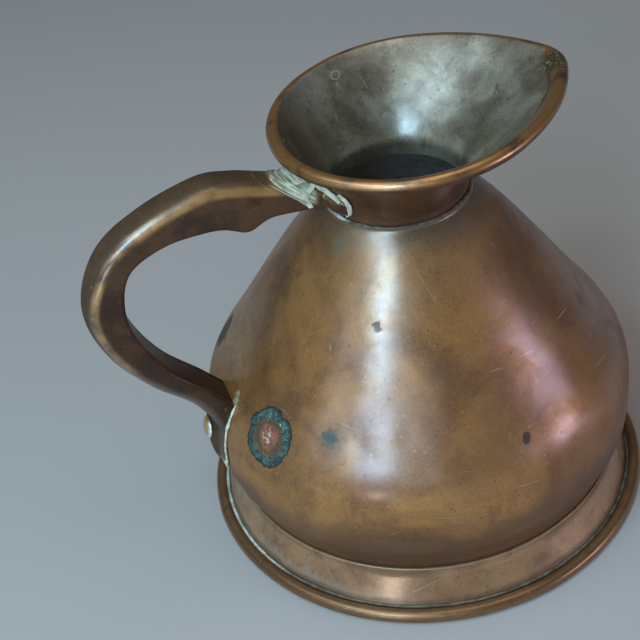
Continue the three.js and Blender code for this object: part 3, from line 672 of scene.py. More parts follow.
def foot_finish():
    material, shader, place = start_finish("foot_patina", 0.45, 0.6)
    colour, rough, relief = aged_copper(place, (0.27, 0.138, 0.060), (0.46, 0.255, 0.115),
                                        (0.11, 0.060, 0.032), (0.6, 0.3, 0.1), 26.0, 0.5)
    x, _, level = split(place)
    wander = level + cloud(place, 140.0, 4.0) * 0.004
    bead = ramp(level, 0.0078, 0.0066)
    # Solder and flux were wiped up from the groove on the handle's side, and dried in pale strokes.
    strokes = cloud(stretched(place, (240.0, 240.0, 60.0)), 1.0, 4.0, 0.6, 0.4)
    wiped = ramp(x, -0.030, -0.062) * ramp(wander - strokes * 0.016, 0.0085, 0.0040)
    groove = ramp(wander, 0.0125, 0.0098) * ramp(level, 0.0068, 0.0078)
    upper_edge = ramp(level, 0.0252, 0.0258)
    spots = ramp(cloud(place, 75.0, 5.0, 0.6, 0.5), 0.56, 0.68)
    colour = blended(
        colour, ((0.22, 0.118, 0.050), bead * 0.75), ((0.55, 0.40, 0.24), fine_scratches(place, 0.5)),
        ((0.44, 0.37, 0.27), wiped * ramp(level, 0.0072, 0.0082) * 0.5),
        ((0.07, 0.05, 0.03), groove * 0.6), ((0.55, 0.36, 0.18), upper_edge * 0.7),
        ((0.13, 0.075, 0.035), spots * 0.5))
    lay_finish(shader, colour, rough + groove * 0.25, relief, 0.00016,
               bead * 0.25 + 0.4, ramp(bead, 0.0, 1.0, 0.6, 0.12))
    return material


foot = make_foot()
foot.data.materials.append(foot_finish())
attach(foot, "root")
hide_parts("foot_skirt")

# Mouth: collar, flared wall and rolled rim from one copper sheet. The rim is egg shaped in plan and
# drawn out into the spout. The inside is tinned, and the tin is worn grey and brown, with painted
# shade darkening it on the handle's side.
mouth_sheet, collar_depth, collar_height, mouth_steps = 1.1, 2.5, 3.5, 256
rim_half_width, rim_back_reach, spout_reach = 70, 60.5, 93
spout_tip_radius, rim_side_radius = 25, 110
rim_height, rim_tilt, rim_wire_size = neck_top + 42, 0.047, 4
flare_lean, flare_foot, flare_top = 1.12, 0.12, 0.5
mouth_half = mouth_sheet / 2
rim_roll = rim_wire_size / 2 + gap + mouth_half
rim_bead = rim_roll + mouth_half
collar_radius = neck_radius - body_sheet - gap
collar_middle = collar_radius - mouth_half
flare_start = neck_top + collar_height


def rim_point(angle, inset):
    """A point of the rim's outline: one arc round the back, one down each side, one at the tip."""
    back_x = rim_half_width - rim_back_reach
    tip_x = spout_reach - spout_tip_radius
    to_back = rim_side_radius - rim_half_width
    to_tip = rim_side_radius - spout_tip_radius
    span = tip_x - back_x
    along = (to_back ** 2 - to_tip ** 2 + span ** 2) / (2 * span)
    below = math.sqrt(to_back ** 2 - along ** 2)
    turn = abs(math.atan2(math.sin(angle), math.cos(angle)))
    x, y, radius = back_x + along, -below, rim_side_radius
    if turn > math.atan2(below, -along):
        x, y, radius = back_x, 0, rim_half_width
    if turn < math.atan2(below, span - along):
        x, y, radius = tip_x, 0, spout_tip_radius
    x += (radius - inset) * math.cos(turn)
    y = math.copysign(1, math.sin(angle)) * (y + (radius - inset) * math.sin(turn))
    return np.array((x, y, rim_height + rim_tilt * x))


class MouthSection:
    """The mouth's upright section that faces one direction."""

    def __init__(self, angle, steps=44):
        rim = rim_point(angle, rim_bead)
        self.normal = np.array((math.cos(angle), math.sin(angle), 0))
        self.along = np.array((-math.sin(angle), math.cos(angle), 0))
        reach, self.drift = rim @ self.normal, rim @ self.along
        self.lean = flare_lean * math.atan2(reach - collar_middle, rim[2] - flare_start)
        way = np.array((math.sin(self.lean), math.cos(self.lean)))
        self.centre = np.array((reach, rim[2]))
        roll_start = self.centre + rim_roll * np.array((-way[1], way[0]))
        base = np.array((collar_middle, flare_start))
        size = np.linalg.norm(roll_start - base)
        curve = bezier((base, base + (0, flare_foot * size), roll_start - flare_top * size * way,
                        roll_start), steps)
        levels = np.linspace(neck_top - collar_depth, flare_start, 6)[:-1]
        self.wall = np.vstack([[(collar_middle, level) for level in levels], curve])
        self.share = np.clip((self.wall[:, 0] - base[0]) / (roll_start[0] - base[0]), 0, 1)
        run = np.gradient(self.wall, axis=0)
        run /= np.linalg.norm(run, axis=1)[:, None]
        self.out = np.column_stack([run[:, 1], -run[:, 0]])

    def placed(self, line, share):
        share = np.broadcast_to(share, len(line))
        flat = np.outer(line[:, 0], self.normal) + np.outer(self.drift * share, self.along)
        return flat + np.outer(line[:, 1], (0, 0, 1))

    def wall_side(self, out):
        """The wall's line moved outwards from the middle of the sheet, short of the roll."""
        return self.placed((self.wall + out * self.out)[:-1], self.share[:-1])

    def roll(self, radius, start, end, steps):
        return self.placed(arc(self.centre, radius, start, end, steps), 1)


def make_mouth():
    rings, tin = [], []
    for turn in 2 * np.pi * np.arange(mouth_steps) / mouth_steps:
        section = MouthSection(turn)
        start = math.pi - section.lean
        end = start - 2 * math.pi + roll_opening(rim_roll, mouth_sheet)
        outside, inside = section.wall_side(mouth_half), section.wall_side(-mouth_half)
        under = section.roll(rim_roll - mouth_half, start, end, 18)
        over = section.roll(rim_roll + mouth_half, end, start, 26)
        rings.append(np.vstack([outside, under, over, inside[::-1]]))
        # A lip of copper stays bare under the roll, wider at the spout. On the far side the tin also
        # covers the roll's inner edge. The marks count from the roll down, in widths of that lip.
        lip = 1.6 + 5.0 * max(0.0, math.cos(turn + 0.35)) ** 3
        edge = 1.0 - 0.15 * min(max(1.5 * math.sin(turn), 0.0), 1.0)
        inner_roll = 1.4 * np.clip((np.linspace(0, 1, len(over)) - edge) / 0.08, 0, 1)
        below = np.linalg.norm(section.wall[:-1] - section.wall[-1], axis=1)
        wall_tin = np.maximum(below[::-1] / lip, inner_roll[-1])
        tin.append(np.concatenate([np.zeros(len(outside) + len(under)), inner_roll, wall_tin]))
    points, faces = skinned(rings, True)
    fade = np.clip((points[:, 2] - flare_start - 3) / 15, 0, 1)
    shift = (uneven(points, 32, 0.3, 4.0) + uneven(points, 12, 0.07, 1.0)) * fade
    piece = made_piece("mouth_wall", pushed_out(points, shift), faces)
    mark_points(piece, "tinned", np.concatenate(tin))
    return piece


def mouth_finish():
    material, shader, place = start_finish("mouth_patina", 0.5, 0.45)
    colour, rough, relief = aged_copper(place, (0.095, 0.042, 0.022), (0.17, 0.078, 0.034),
                                        (0.045, 0.030, 0.020), (0.4, 0.2, 0.07), 34.0, 0.7)
    tin = aged_copper(stretched(place, (1.0, 1.0, 1.0), (0.4, 0.2, 0.0)), (0.175, 0.150, 0.095),
                      (0.40, 0.39, 0.29), (0.060, 0.048, 0.030), (0.30, 0.27, 0.19), 36.0, 0.7)[0]
    x, _, z = split(place)
    inside = ramp(marked(place, "tinned") + (cloud(place, 110.0, 4.0, 0.6) - 0.5) * 1.1, 0.75, 1.15)
    worn = ramp(cloud(place, 22.0, 5.0, 0.55, 0.4), 0.46, 0.64)
    # On the handle's side the tin is also painted darker, as the shade inside the mouth, over the worn
    # patches.
    worn = larger(worn * 0.5, ramp(x, 0.020, -0.035) * 0.85)
    rim = ramp(z - x * rim_tilt, 0.2315, 0.2335) * (1.0 - inside)
    golden = blended((0.52, 0.25, 0.066),
                     ((0.13, 0.075, 0.033), ramp(cloud(place, 60.0, 5.0, 0.6), 0.50, 0.72)))
    tip = ragged_spot(place, (0.1105, -0.006, 0.2385), 0.013, 0.7, 0.6, 260.0)[0]
    dirt = blended((0.06, 0.06, 0.035), ((0.5, 0.46, 0.3), ramp(cloud(place, 620.0, 4.0), 0.54, 0.60)))
    # Two rings are scratched into the tin, and a short line beside the smaller one.
    scratched, width = (0.62, 0.5, 0.33), 0.0006
    large_ring = scratch_ring(place, (-0.0260, 0.0075, 0.2260), 0.0056, width)
    small_ring = scratch_ring(place, (0.0150, 0.0570, 0.2295), 0.0026, width)
    hook = scratch_line(place, (0.014, 0.0545, 0.2268), (0.0165, 0.0500, 0.2225), width)
    colour = blended(
        colour, (blended(tin, ((0.085, 0.050, 0.028), worn)), inside), (golden, rim * 0.92),
        ((0.5, 0.42, 0.3), fine_scratches(place, 0.35)), (dirt, tip * 0.75),
        (scratched, large_ring * 0.75), (scratched, small_ring * 0.75), (scratched, hook * 0.8))
    rough = rough + inside * 0.04 + worn * 0.08
    gloss = larger(inside * (1.0 - worn), rim) * 0.9
    lay_finish(shader, colour, rough, relief, 0.00015, rim * 0.3 + 0.5, gloss)
    return material


mouth = make_mouth()
mouth.data.materials.append(mouth_finish())
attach(mouth, "root")
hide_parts("mouth_funnel")


# Wires: two rings of plain iron, shut in the rolls of the foot and the rim to stiffen them. They are
# grey with patches of rust, and nothing of them shows from outside.
def iron_finish():
    material, shader, place = start_finish("iron_wire", 0.9, 0.0)
    rust = cloud(place, 180.0, 5.0, 0.6)
    colour = blended((0.16, 0.15, 0.14), ((0.19, 0.085, 0.04), ramp(rust, 0.42, 0.62)))
    lay_finish(shader, colour, ramp(rust, 0.3, 0.7, 0.45, 0.8), rust, 0.0002)
    return material


wire_finish = iron_finish()
for wire in ("foot_wire", "rim_wire"):
    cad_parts[wire].data.materials.clear()
    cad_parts[wire].data.materials.append(wire_finish)

# Handle: a copper sheet bent to a round backed hollow section, its lips folded under beside a flat
# strap. It runs from a mitre under the rim to a leaf on the belly, bored for one rivet. Its patina is
# laid in a lit and a shaded copy: the back that faces outwards is painted lighter, as lit and partly
# as rubbed gold, with a painted golden highlight along its shoulders and painted shade down its
# middle, and the sides stay dark, as shaded. A film of old solder lies on the top end.
handle_sheet, grip_half_width, grip_crown, crown_bend = 1.2, 11, 9.5, 2 / 2.6
lip_width, lip_radius, strap_thickness = 3.2, 2.6, 2
leaf_half_width, leaf_crown, leaf_rise = grip_half_width + 3, 6, 0.4
leaf_top, leaf_tip, handle_reach = 90, 51, 51
mitre_back, mitre_inset = 9.5, 4.5
spur_place, spur_height, spur_reach = -81, 4, 8
rivet_height, rivet_shank_radius, rivet_seat_width = 77, 2.5, 12
leaf_height = gap + strap_thickness + gap + handle_sheet + leaf_rise
leaf_depth = 8
grip_far = -(belly[0] + handle_reach)
rim_back_top = rim_height - rim_tilt * rim_back_reach


def on_body(height, out):
    return (-(body_radius(height) + out), height)


def body_lean(height):
    """How far the body's wall leans in, over a rivet seat's width."""
    reach = rivet_seat_width / 2
    return math.atan2(body_radius(height - reach) - body_radius(height + reach), rivet_seat_width)


# Places of the back and of the finger side, counted from the rim's back, from the grip's far side at
# the rim's height, and from there at the leaf's height.
rim_back = (-rim_back_reach, rim_back_top)
grip_top, grip_low = (grip_far, rim_back_top), (grip_far, leaf_top)
grip_stations = (
    (rim_back, (24.5, -21), (30.5, -33)), (rim_back, (-6.5, -10), (-3.5, -28.5)),
    (rim_back, (-21.5, -5), (-21.5, -28.5)), (rim_back, (-39.5, -2.5), (-40.5, -26)),
    (grip_top, (39, -10), (45, -26.5)), (grip_top, (13, -26), (26, -36)),
    (grip_low, (0, 86), (19.5, 84)), (grip_low, (5.5, 57.5), (22.5, 63)),
    (grip_low, (22, 31.5), (34, 40)), (grip_low, (40.5, 12), (52.5, 19)),
)
# Height and distance off the body, for the back and then for the finger side. Then how far the section
# has become the leaf, and its share of the full width.
leaf_stations = (
    (leaf_top - 3, leaf_height + 2, leaf_top, -leaf_depth, 0.8, 1),
    (rivet_height, leaf_height, rivet_height, -leaf_depth, 1, 1),
    (leaf_tip + 11, leaf_height, leaf_tip + 11, -leaf_depth, 1, 0.8),
    (leaf_tip, -1, leaf_tip, -leaf_depth - 3, 1, 0.35),
)
back_points = np.array([np.add(origin, back) for origin, back, _ in grip_stations]
                       + [on_body(*row[:2]) for row in leaf_stations])
finger_points = np.array([np.add(origin, finger) for origin, _, finger in grip_stations]
                         + [on_body(*row[2:4]) for row in leaf_stations])
leaf_points = np.array([(0, 1)] * len(grip_stations) + [row[4:] for row in leaf_stations])
grip_end = 9 / (len(back_points) - 1)


def through(points, t):
    """A smooth line through every point, at a share of the way along it."""
    p = t * (len(points) - 1)
    i = min(int(p), len(points) - 2)
    w = p - i
    a, b, c, d = (points[min(max(k, 0), len(points) - 1)] for k in (i - 1, i, i + 1, i + 2))
    v0, v1 = (c - a) / 2, (d - b) / 2
    return (2 * b - 2 * c + v0 + v1) * w ** 3 + (-3 * b + 3 * c - 2 * v0 - v1) * w ** 2 + v0 * w + b


def along_curve(points, steps):
    points = np.asarray(points, float)
    return np.array([through(points, t) for t in np.linspace(0, 1, steps)])


class HandleSection:
    """The handle's cross section at a share of the way along it."""

    def __init__(self, t):
        back, self.finger = through(back_points, t), through(finger_points, t).copy()
        self.finger[1] -= spur_height * math.exp(-((self.finger[0] - spur_place) / spur_reach) ** 2)
        leaf, width = through(leaf_points, t)
        self.depth = float(np.linalg.norm(back - self.finger))
        self.up = (back - self.finger) / self.depth
        self.half_width = (grip_half_width + leaf * (leaf_half_width - grip_half_width)) * width
        self.crown = grip_crown + leaf * (leaf_crown - grip_crown)

    def placed(self, line):
        line = np.asarray(line, float)
        side = self.finger + np.outer(line[:, 1], self.up)
        return np.column_stack([side[:, 0], line[:, 0], side[:, 1]])

    def arch(self, inset, steps):
        angles = np.linspace(0, np.pi, steps + 1)
        c, s = np.cos(angles), np.abs(np.sin(angles))
        width = (self.half_width - inset) * np.sign(c) * np.abs(c) ** crown_bend
        return np.column_stack([width, self.depth - self.crown + (self.crown - inset) * s ** crown_bend])

    def with_lips(self, inset, lip_steps, arch_steps):
        """The arch and both lips, as a line that lies inside the sheet's outer face by the inset."""
        centre = (self.half_width - lip_radius, lip_radius)
        bend = arc(centre, lip_radius - inset, -math.pi / 2, 0, lip_steps)
        lip = np.vstack([[(self.half_width - lip_width, inset)], bend])
        return np.vstack([lip, self.arch(inset, arch_steps), (lip * (-1, 1))[::-1]])


def body_block(grow):
    profile = np.vstack([(0, neck_top), moved_out(body_outline, grow), (0, waist_end)])
    return made_piece("body_block", *turned_disc(profile[::-1], 160))


def mouth_block(grow):
    sections = []
    for angle in 2 * np.pi * np.arange(160) / 160:
        section = MouthSection(angle, 24)
        bead = section.roll(rim_bead + grow, -0.75 * math.pi, math.pi / 2, 14)
        sections.append(np.vstack([section.wall_side(mouth_half + grow), bead]))
    return made_piece("mouth_block", *skinned(np.array(sections).transpose(1, 0, 2)))


def side_prism(name, outline, half_width):
    """A side view outline given a width across the jug."""
    sides = [[(x, y, z) for x, z in outline] for y in (-half_width, half_width)]
    return made_piece(name, *skinned(sides))


pool_height = rim_back_top - 13.4
mitre_run = rim_back_reach - mitre_inset - collar_radius - mitre_back
mitre_lean = mitre_run / (pool_height - flare_start)


def mitre_block(grow):
    x = -(collar_radius + mitre_back) - grow * math.hypot(1, mitre_lean)
    lean = mitre_lean * (rim_height - flare_start)
    outline = [(x, flare_start), (0, flare_start), (0, rim_height), (x - lean, rim_height)]
    return side_prism("mitre_block", outline, rim_half_width)


def handle_block(grow):
    rings = []
    for t in np.arange(131) / 130:
        section = HandleSection(t)
        edge = section.half_width + grow
        ring = np.vstack([[(edge, -grow)], section.arch(-grow, 24), [(-edge, -grow)]])
        rings.append(section.placed(ring))
    return made_piece("handle_block", *skinned(rings))


rivet_lean = body_lean(rivet_height)
rivet_foot = np.add(*(on_body(rivet_height + side * rivet_seat_width / 2, 0) for side in (-1, 1))) / 2
rivet_out = np.array((-math.cos(rivet_lean), math.sin(rivet_lean)))


def at_rivet(points):
    """Stands points drawn round Z, from the body's outside outwards, on the rivet's place."""
    side = np.array((rivet_out[1], -rivet_out[0]))
    flat = rivet_foot + np.outer(points[:, 2], rivet_out) + np.outer(points[:, 0], side)
    return np.column_stack([flat[:, 0], points[:, 1], flat[:, 1]])


def rivet_bore():
    reach, radius = 4 * leaf_height, rivet_shank_radius + gap
    points, faces = turned_disc([(0, -reach), (radius, -reach), (radius, reach), (0, reach)], 40)
    return made_piece("rivet_bore", at_rivet(points), faces)


def shaped(piece, operation, *blocks):
    """Cuts the piece by the blocks, or joins or overlaps it with them, and removes the blocks."""
    for block in blocks:
        step = piece.modifiers.new("shape", "BOOLEAN")
        step.operation = operation
        step.solver = "EXACT"
        step.object = block
        apply_modifiers(piece)
        bpy.data.objects.remove(block)
    return piece


def apply_modifiers(piece):
    ready = piece.evaluated_get(bpy.context.evaluated_depsgraph_get())
    mesh = bpy.data.meshes.new_from_object(ready)
    piece.modifiers.clear()
    piece.data = mesh


def trimmed_to_seats(piece):
    """Cuts away what the body, the mouth, the mitre and the rivet take, with a gap."""
    seats = body_block(gap), mouth_block(gap), mitre_block(gap), rivet_bore()
    return smooth(shaped(piece, "DIFFERENCE", *seats))


def make_handle_shell():
    rings = []
    for t in np.arange(201) / 200:
        section = HandleSection(t)
        outside, inside = section.with_lips(0, 5, 28), section.with_lips(handle_sheet, 4, 20)
        rings.append(section.placed(np.vstack([outside, inside[::-1]])))
    points, faces = skinned(rings)
    points[:, 1] += uneven(points, 24, 0.5, 3.0)
    points[:, 2] += uneven(points, 26, 0.5, 5.0)
    return trimmed_to_seats(made_piece("handle_back", points, faces))


def mark_facing(piece):
    """Marks how far each point's surface faces outwards, away from the finger side."""
    vertices = piece.data.vertices
    places, normals = np.zeros(len(vertices) * 3), np.zeros(len(vertices) * 3)
    vertices.foreach_get("co", places)
    vertices.foreach_get("normal", normals)
    line, fingers = along_curve(back_points, 400), along_curve(finger_points, 400)
    side = (places.reshape(-1, 3) - (jug_axis, 0, 0))[:, (0, 2)] * 1000
    nearest = np.argmin(((side[:, None] - line[None]) ** 2).sum(2), axis=1)
    up = line[nearest] - fingers[nearest]
    up /= np.linalg.norm(up, axis=1)[:, None]
    mark_points(piece, "facing_out", (normals.reshape(-1, 3)[:, (0, 2)] * up).sum(1))


@shader_group({"Vector": "Place"}, {"Float": "Mask Height", "Color": "Colour"})
def solder_film(place):
    """The thin pale film that the solder and its flux left on the handle's top end, in brush strokes.

    The film's edge runs down and towards the mouth: -66 mm on the crown, -51 mm at the side.
    """
    x, y, z = split(place)
    from_axis = x - jug_axis
    across = from_axis + z * 1.07
    run = shader_node("CombineXYZ", {"X": across * 760.0, "Y": y * 70.0, "Z": z * 70.0}, 0)
    stroke = cloud(run, 1.0, 4.0, 0.6)
    from_edge = across - (-0.066 + 0.219 * 1.07) + (stroke - 0.5) * 0.016
    mask = ramp(from_edge, -0.001, 0.003) * ramp(z, 0.201, 0.206)
    mask = mask * ramp(from_axis + stroke * 0.006, -0.0405, -0.0435)
    colour = blended(
        (0.34, 0.35, 0.20), ((0.42, 0.46, 0.31), ramp(cloud(place, 130.0, 3.0), 0.44, 0.60)),
        ((0.74, 0.80, 0.66), ramp(from_edge, 0.004, 0.018, 0.0, 0.8)),
        ((0.88, 0.88, 0.68), ramp(stroke, 0.50, 0.62)), ((0.15, 0.15, 0.09), ramp(stroke, 0.45, 0.35)))
    return mask * ramp(stroke, 0.30, 0.46, 0.35, 1.0), mask * stroke, colour


def handle_finish():
    material, shader, place = start_finish("handle_patina", 0.4, 0.3, 1.45)
    shader["Specular IOR Level"].default_value = 0.3
    colour, rough, relief = aged_copper(place, (0.058, 0.029, 0.017), (0.125, 0.062, 0.029),
                                        (0.028, 0.016, 0.012), (0.22, 0.11, 0.04), 30.0, 0.6)
    # A lighter copy of the patina, laid on the back that faces outwards as painted light and partly as
    # rubbed gold; the darker copy above serves the sides as painted shade.
    lit_and_rubbed_gold = aged_copper(place, (0.10, 0.060, 0.030), (0.19, 0.110, 0.046),
                              (0.05, 0.031, 0.019), (0.34, 0.19, 0.07), 34.0, 0.6)[0]
    facing = marked(place, "facing_out")
    held = ramp(split(place)[2], 0.115, 0.155, 0.05, 1.0)
    shoulders = ramp(facing, 0.10, 0.36) * ramp(facing, 0.84, 0.60) * held
    # A golden band along the shoulders: a painted highlight, partly rubbed wear.
    shoulder_highlight_and_wear = shoulders * ramp(cloud(place, 60.0, 4.0), 0.30, 0.62)
    film, film_height, film_colour = solder_film(place)
    colour = blended(
        colour, (lit_and_rubbed_gold, ramp(facing, 0.35, 0.75) * held),
        # The middle of the back, facing straight out, is painted darker, as shade.
        ((0.062, 0.040, 0.024), ramp(facing, 0.84, 0.96, 0.0, 0.55)), ((0.62, 0.35, 0.115), shoulder_highlight_and_wear * 0.8),
        ((0.45, 0.3, 0.16), fine_scratches(place, 0.18)), (film_colour, film))
    bare = 1.0 - film
    gloss = ramp(facing, 0.1, 0.5, 0.15, 0.9) * ramp(facing, 0.92, 0.76, 0.02, 1.0) * bare
    rough = rough + film * 0.25 + ramp(facing, 0.78, 0.94, 0.0, 0.30)
    lay_finish(shader, colour, rough, relief + film_height * 4.0, 0.00015,
               ramp(facing, 0.78, 0.92, 0.45, 0.1) * bare, gloss)
    return material


handle_shell = make_handle_shell()
mark_facing(handle_shell)
handle_skin = handle_finish()
handle_shell.data.materials.append(handle_skin)
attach(handle_shell, "root")
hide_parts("handle_shell")

# Rivet: soft copper, driven through leaf, strap and body. Its head was hammered to a low dome on the
# leaf, and its tail is closed over a washer, the burr, inside the body.
rivet_head_radius, rivet_head_height, rivet_head_edge = 6.2, 2.6, 0.5
burr_radius, burr_thickness, rivet_steps = 6, 1.5, 56
rivet_tail_radius, rivet_tail_height, rivet_tail_bevel = 4, 1.6, 1
burr_low = -body_sheet - 2 * gap - burr_thickness


def leaf_seat():
    """How far the leaf stands out from the rivet's foot, under the head."""
    line = along_curve(back_points, 800) - rivet_foot
    near = np.abs(line[:, 0] * rivet_out[1] - line[:, 1] * rivet_out[0]) < rivet_head_radius
    return float((line[near] @ rivet_out).max())


def make_rivet():
    seat, tail = leaf_seat() + gap, burr_low - gap
    crest = seat + rivet_head_height
    dome = bezier(((rivet_head_radius, seat + rivet_head_edge),
                   (rivet_head_radius - rivet_head_edge, crest), (0, crest)), 14)
    profile = np.vstack([
        [(0, tail - rivet_tail_height), (rivet_tail_radius - rivet_tail_bevel, tail - rivet_tail_height),
         (rivet_tail_radius, tail - rivet_tail_height + rivet_tail_bevel), (rivet_tail_radius, tail),
         (rivet_shank_radius, tail), (rivet_shank_radius, seat), (rivet_head_radius - 0.3, seat)], dome])
    points, faces = turned_disc(profile, rivet_steps)
    points[:, :2] *= (1 + uneven(points, 4, 0.08))[:, None]
    points[:, 2] += uneven(points, 3.2, 0.3, 2.0) * (points[:, 2] > seat + 1)
    return made_piece("rivet_head", at_rivet(points), faces)


def make_burr():
    inner, high = rivet_shank_radius + gap, burr_low + burr_thickness
    corners = [(inner, burr_low), (burr_radius, burr_low), (burr_radius, high), (inner, high)]
    ring = rounded(np.array([corners[-1], *corners, corners[0]], float), {2: 0.3, 3: 0.3})[1:-1]
    points, faces = turned(ring, rivet_steps)
    return made_piece("rivet_washer", at_rivet(points), faces)


def rivet_finish():
    """Rubbed copper, with a pale crescent painted as a highlight round the head's edge on its -Y side."""
    material, shader, place = start_finish("rivet_rubbed", 0.5, 0.3)
    colour, rough, relief = aged_copper(place, (0.50, 0.27, 0.075), (0.78, 0.46, 0.14),
                                        (0.18, 0.095, 0.04), (0.7, 0.4, 0.2), 150.0, 0.6)
    head = room_place(at_rivet(np.array([(0, 0, leaf_seat() + 1.0)]))[0])
    # A painted highlight: a pale crescent round the edge of the head, on its -Y side.
    painted_crescent_highlight = scratch_ring(place, head, 0.0060, 0.0016) * ramp(split(place)[1], -0.001, -0.003)
    lay_finish(shader, blended(colour, ((0.82, 0.84, 0.76), painted_crescent_highlight)), rough, relief, 0.0002)
    return material


rubbed = rivet_finish()
for piece, node in ((make_rivet(), "handle_rivet"), (make_burr(), "rivet_burr")):
    piece.data.materials.append(rubbed)
    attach(piece, "root")
    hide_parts(node)

# Strap: a flat copper bar let in between the folded lips, which stiffens the grip and runs on under
# the leaf, where the rivet holds it too. It is as dark as the handle's sides.
strap_end, strap_edge_bend = 64, 0.3


def make_strap():
    edge = grip_half_width - lip_width - gap
    top = strap_thickness
    corners = np.array([(edge, 1), (edge, top), (-edge, top), (-edge, 0), (edge, 0), (edge, 1)], float)
    ring = rounded(corners, dict.fromkeys(range(1, 5), strap_edge_bend))[:-1]
    rings = []
    for t in np.linspace(0, 1, 260):
        section = HandleSection(t)
        rings.append(section.placed(ring))
        x, z = section.finger
        if t > grip_end and -x < body_radius(z) + 1.5:
            break
    for height in np.linspace(z - 3, strap_end, 24):
        lean = body_lean(height)
        out = (-math.cos(lean), math.sin(lean))
        side = on_body(height, gap / math.cos(lean)) + np.outer(ring[:, 1], out)
        rings.append(np.column_stack([side[:, 0], ring[:, 0], side[:, 1]]))
    return trimmed_to_seats(made_piece("handle_bar", *skinned(rings)))


strap = make_strap()
strap.data.materials.append(dull_copper("strap_patina", (0.062, 0.032, 0.020), (0.10, 0.052, 0.030)))
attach(strap, "root")
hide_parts("handle_strap")

# Saddle: a shaped copper seat between the mouth and the handle's mitred end. It is rounded all over,
# and two tongues taper from it along the mouth's wall.
saddle_low, saddle_high = neck_top + 1 + 2 * gap, rim_back_top - 20.5
tongue_turn, tongue_end = 0.54, 0.545


def wall_at(section, height, out):
    """A place outside the mouth's wall, at a height of one section."""
    side = section.wall + (mouth_half + out) * section.out
    reach = np.interp(height, side[:, 1], side[:, 0])
    share = np.interp(height, side[:, 1], section.share)
    return reach * section.normal + section.drift * share * section.along + (0, 0, height)


def renamed(piece, name):
    piece.name = piece.data.name = name
    return piece


def rounded_off(piece, voxel, passes):
    """Rounds a cut solid's edges, as filing and hammering do."""
    melt = piece.modifiers.new("melt", "REMESH")
    melt.mode = "VOXEL"
    melt.voxel_size = voxel * 0.001
    ease = piece.modifiers.new("ease", "SMOOTH")
    ease.factor = 0.5
    ease.iterations = passes
    apply_modifiers(piece)


def make_saddle():
    middle, half = (saddle_low + saddle_high) / 2, (saddle_high - saddle_low) / 2
    up = np.linspace(-1, 1, 17)
    rings = []
    for turn in np.linspace(-tongue_turn, tongue_turn, 61):
        section = MouthSection(math.pi + turn)
        taper = max(1 - (turn / tongue_end) ** 2, 0) ** 0.5
        level = middle - 0.8 + up * half * (0.45 + 0.45 * taper)
        bulge = 0.4 + 3.4 * taper ** 0.7 * np.sqrt(1 - up ** 2)
        outer = [wall_at(section, z, gap + b) for z, b in zip(level, bulge)]
        rings.append(outer + [wall_at(section, z, gap) for z in level[::-1]])
    tongues = made_piece("tongues", *skinned(rings))
    seat = shaped(handle_block(0), "INTERSECT", mitre_block(0))
    below = side_prism("slice", [(-200, -1), (200, -1), (200, saddle_low), (-200, saddle_low)], 200)
    shaped(seat, "DIFFERENCE", below, mouth_block(gap))
    renamed(shaped(seat, "UNION", tongues), "handle_seat")
    rounded_off(seat, 0.6, 10)
    return smooth(shaped(seat, "DIFFERENCE", mouth_block(gap)))


saddle = make_saddle()
mark_facing(saddle)
saddle.data.materials.clear()
saddle.data.materials.append(handle_skin)
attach(saddle, "root")
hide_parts("handle_saddle")


# Solder: soft solder run into the neck seam, the groove above the foot's bead, the corner under the
# foot, round the leaf and over the handle's top end. It lies in uneven lumps, with a pale green bloom.
def make_ring_solder(name, profile, lump, seed):
    points, faces = turned(profile, 256)
    middle = np.mean(profile, axis=0)
    flat = points * (1, 1, 0)
    thick = 1 + uneven(flat, 9, lump, seed) + uneven(flat, 3.5, lump / 2, seed + 3)
    radius = np.hypot(points[:, 0], points[:, 1])
    points = pushed_out(points, (radius - middle[0]) * (thick - 1))
    points[:, 2] = middle[1] + (points[:, 2] - middle[1]) * thick
    return made_piece(name, points, faces, 60)


def neck_solder_profile():
    wall, edge, top = collar_radius + gap, neck_radius + gap, neck_top + gap
    fillet = bezier(((edge - 0.3, top), (edge - 0.4, top + 0.6), (wall, top + 0.9)), 8)
    return np.vstack([[(wall, top)], fillet])


def foot_solder_profile():
    run = 1.4
    groove = math.acos((foot_roll - foot_half - gap) / (foot_bead + gap))
    start = math.pi + skirt_lean - groove
    seat = arc(foot_centre, foot_bead + gap, start, start - run / foot_bead, 6)
    top = seat[0] + run * np.array((-math.sin(skirt_lean), math.cos(skirt_lean)))
    fillet = bezier((seat[-1], (seat[0] + seat[-1] + top) / 3 + (0.2, -0.2), top), 6)
    return np.vstack([seat, fillet[1:]])


def base_solder_profile():
    tail, under = waist_radius + gap, waist_end - gap
    inner, edge = pan_radius - pan_sheet, under + 2.2
    middle = skirt_knee[0] + (skirt_knee[1] - edge) * math.tan(skirt_lean)
    reach = middle - (foot_half + gap) / math.cos(skirt_lean)
    below = bezier(((inner, under), (inner + 1, under - 1.6), (tail + 1.4, under - 1), (reach, edge)), 10)
    return np.vstack([[(tail, under + 7), (tail, under)], below])


# How far from the handle its solder starts.
wetting = 0.03


def lumpy(piece, voxel, depth, seed):
    """Melts a solid into a rounded, uneven bead."""
    rounded_off(piece, voxel, 4)
    for vertex in piece.data.vertices:
        vertex.co += vertex.normal * depth * 0.001 * noise.noise(vertex.co * 300 + Vector((seed, 0, 0)))
    return smooth(piece, 180)


def laid_bead(line, outs, widths, thickness):
    """A rounded bead along a line of places, each with its outward direction and half width."""
    angles = np.linspace(0, 2 * np.pi, 12, endpoint=False)
    rings = []
    for place, along, out, half in zip(line, np.gradient(line, axis=0), outs, widths):
        along = unit(along)
        out = unit(out - along * (out @ along))
        side = np.cross(along, out)
        rings.append([place + out * (thickness * (0.5 + 0.5 * math.sin(a))) + side * (half * math.cos(a))
                      for a in angles])
    return made_piece("strand", *skinned(rings))


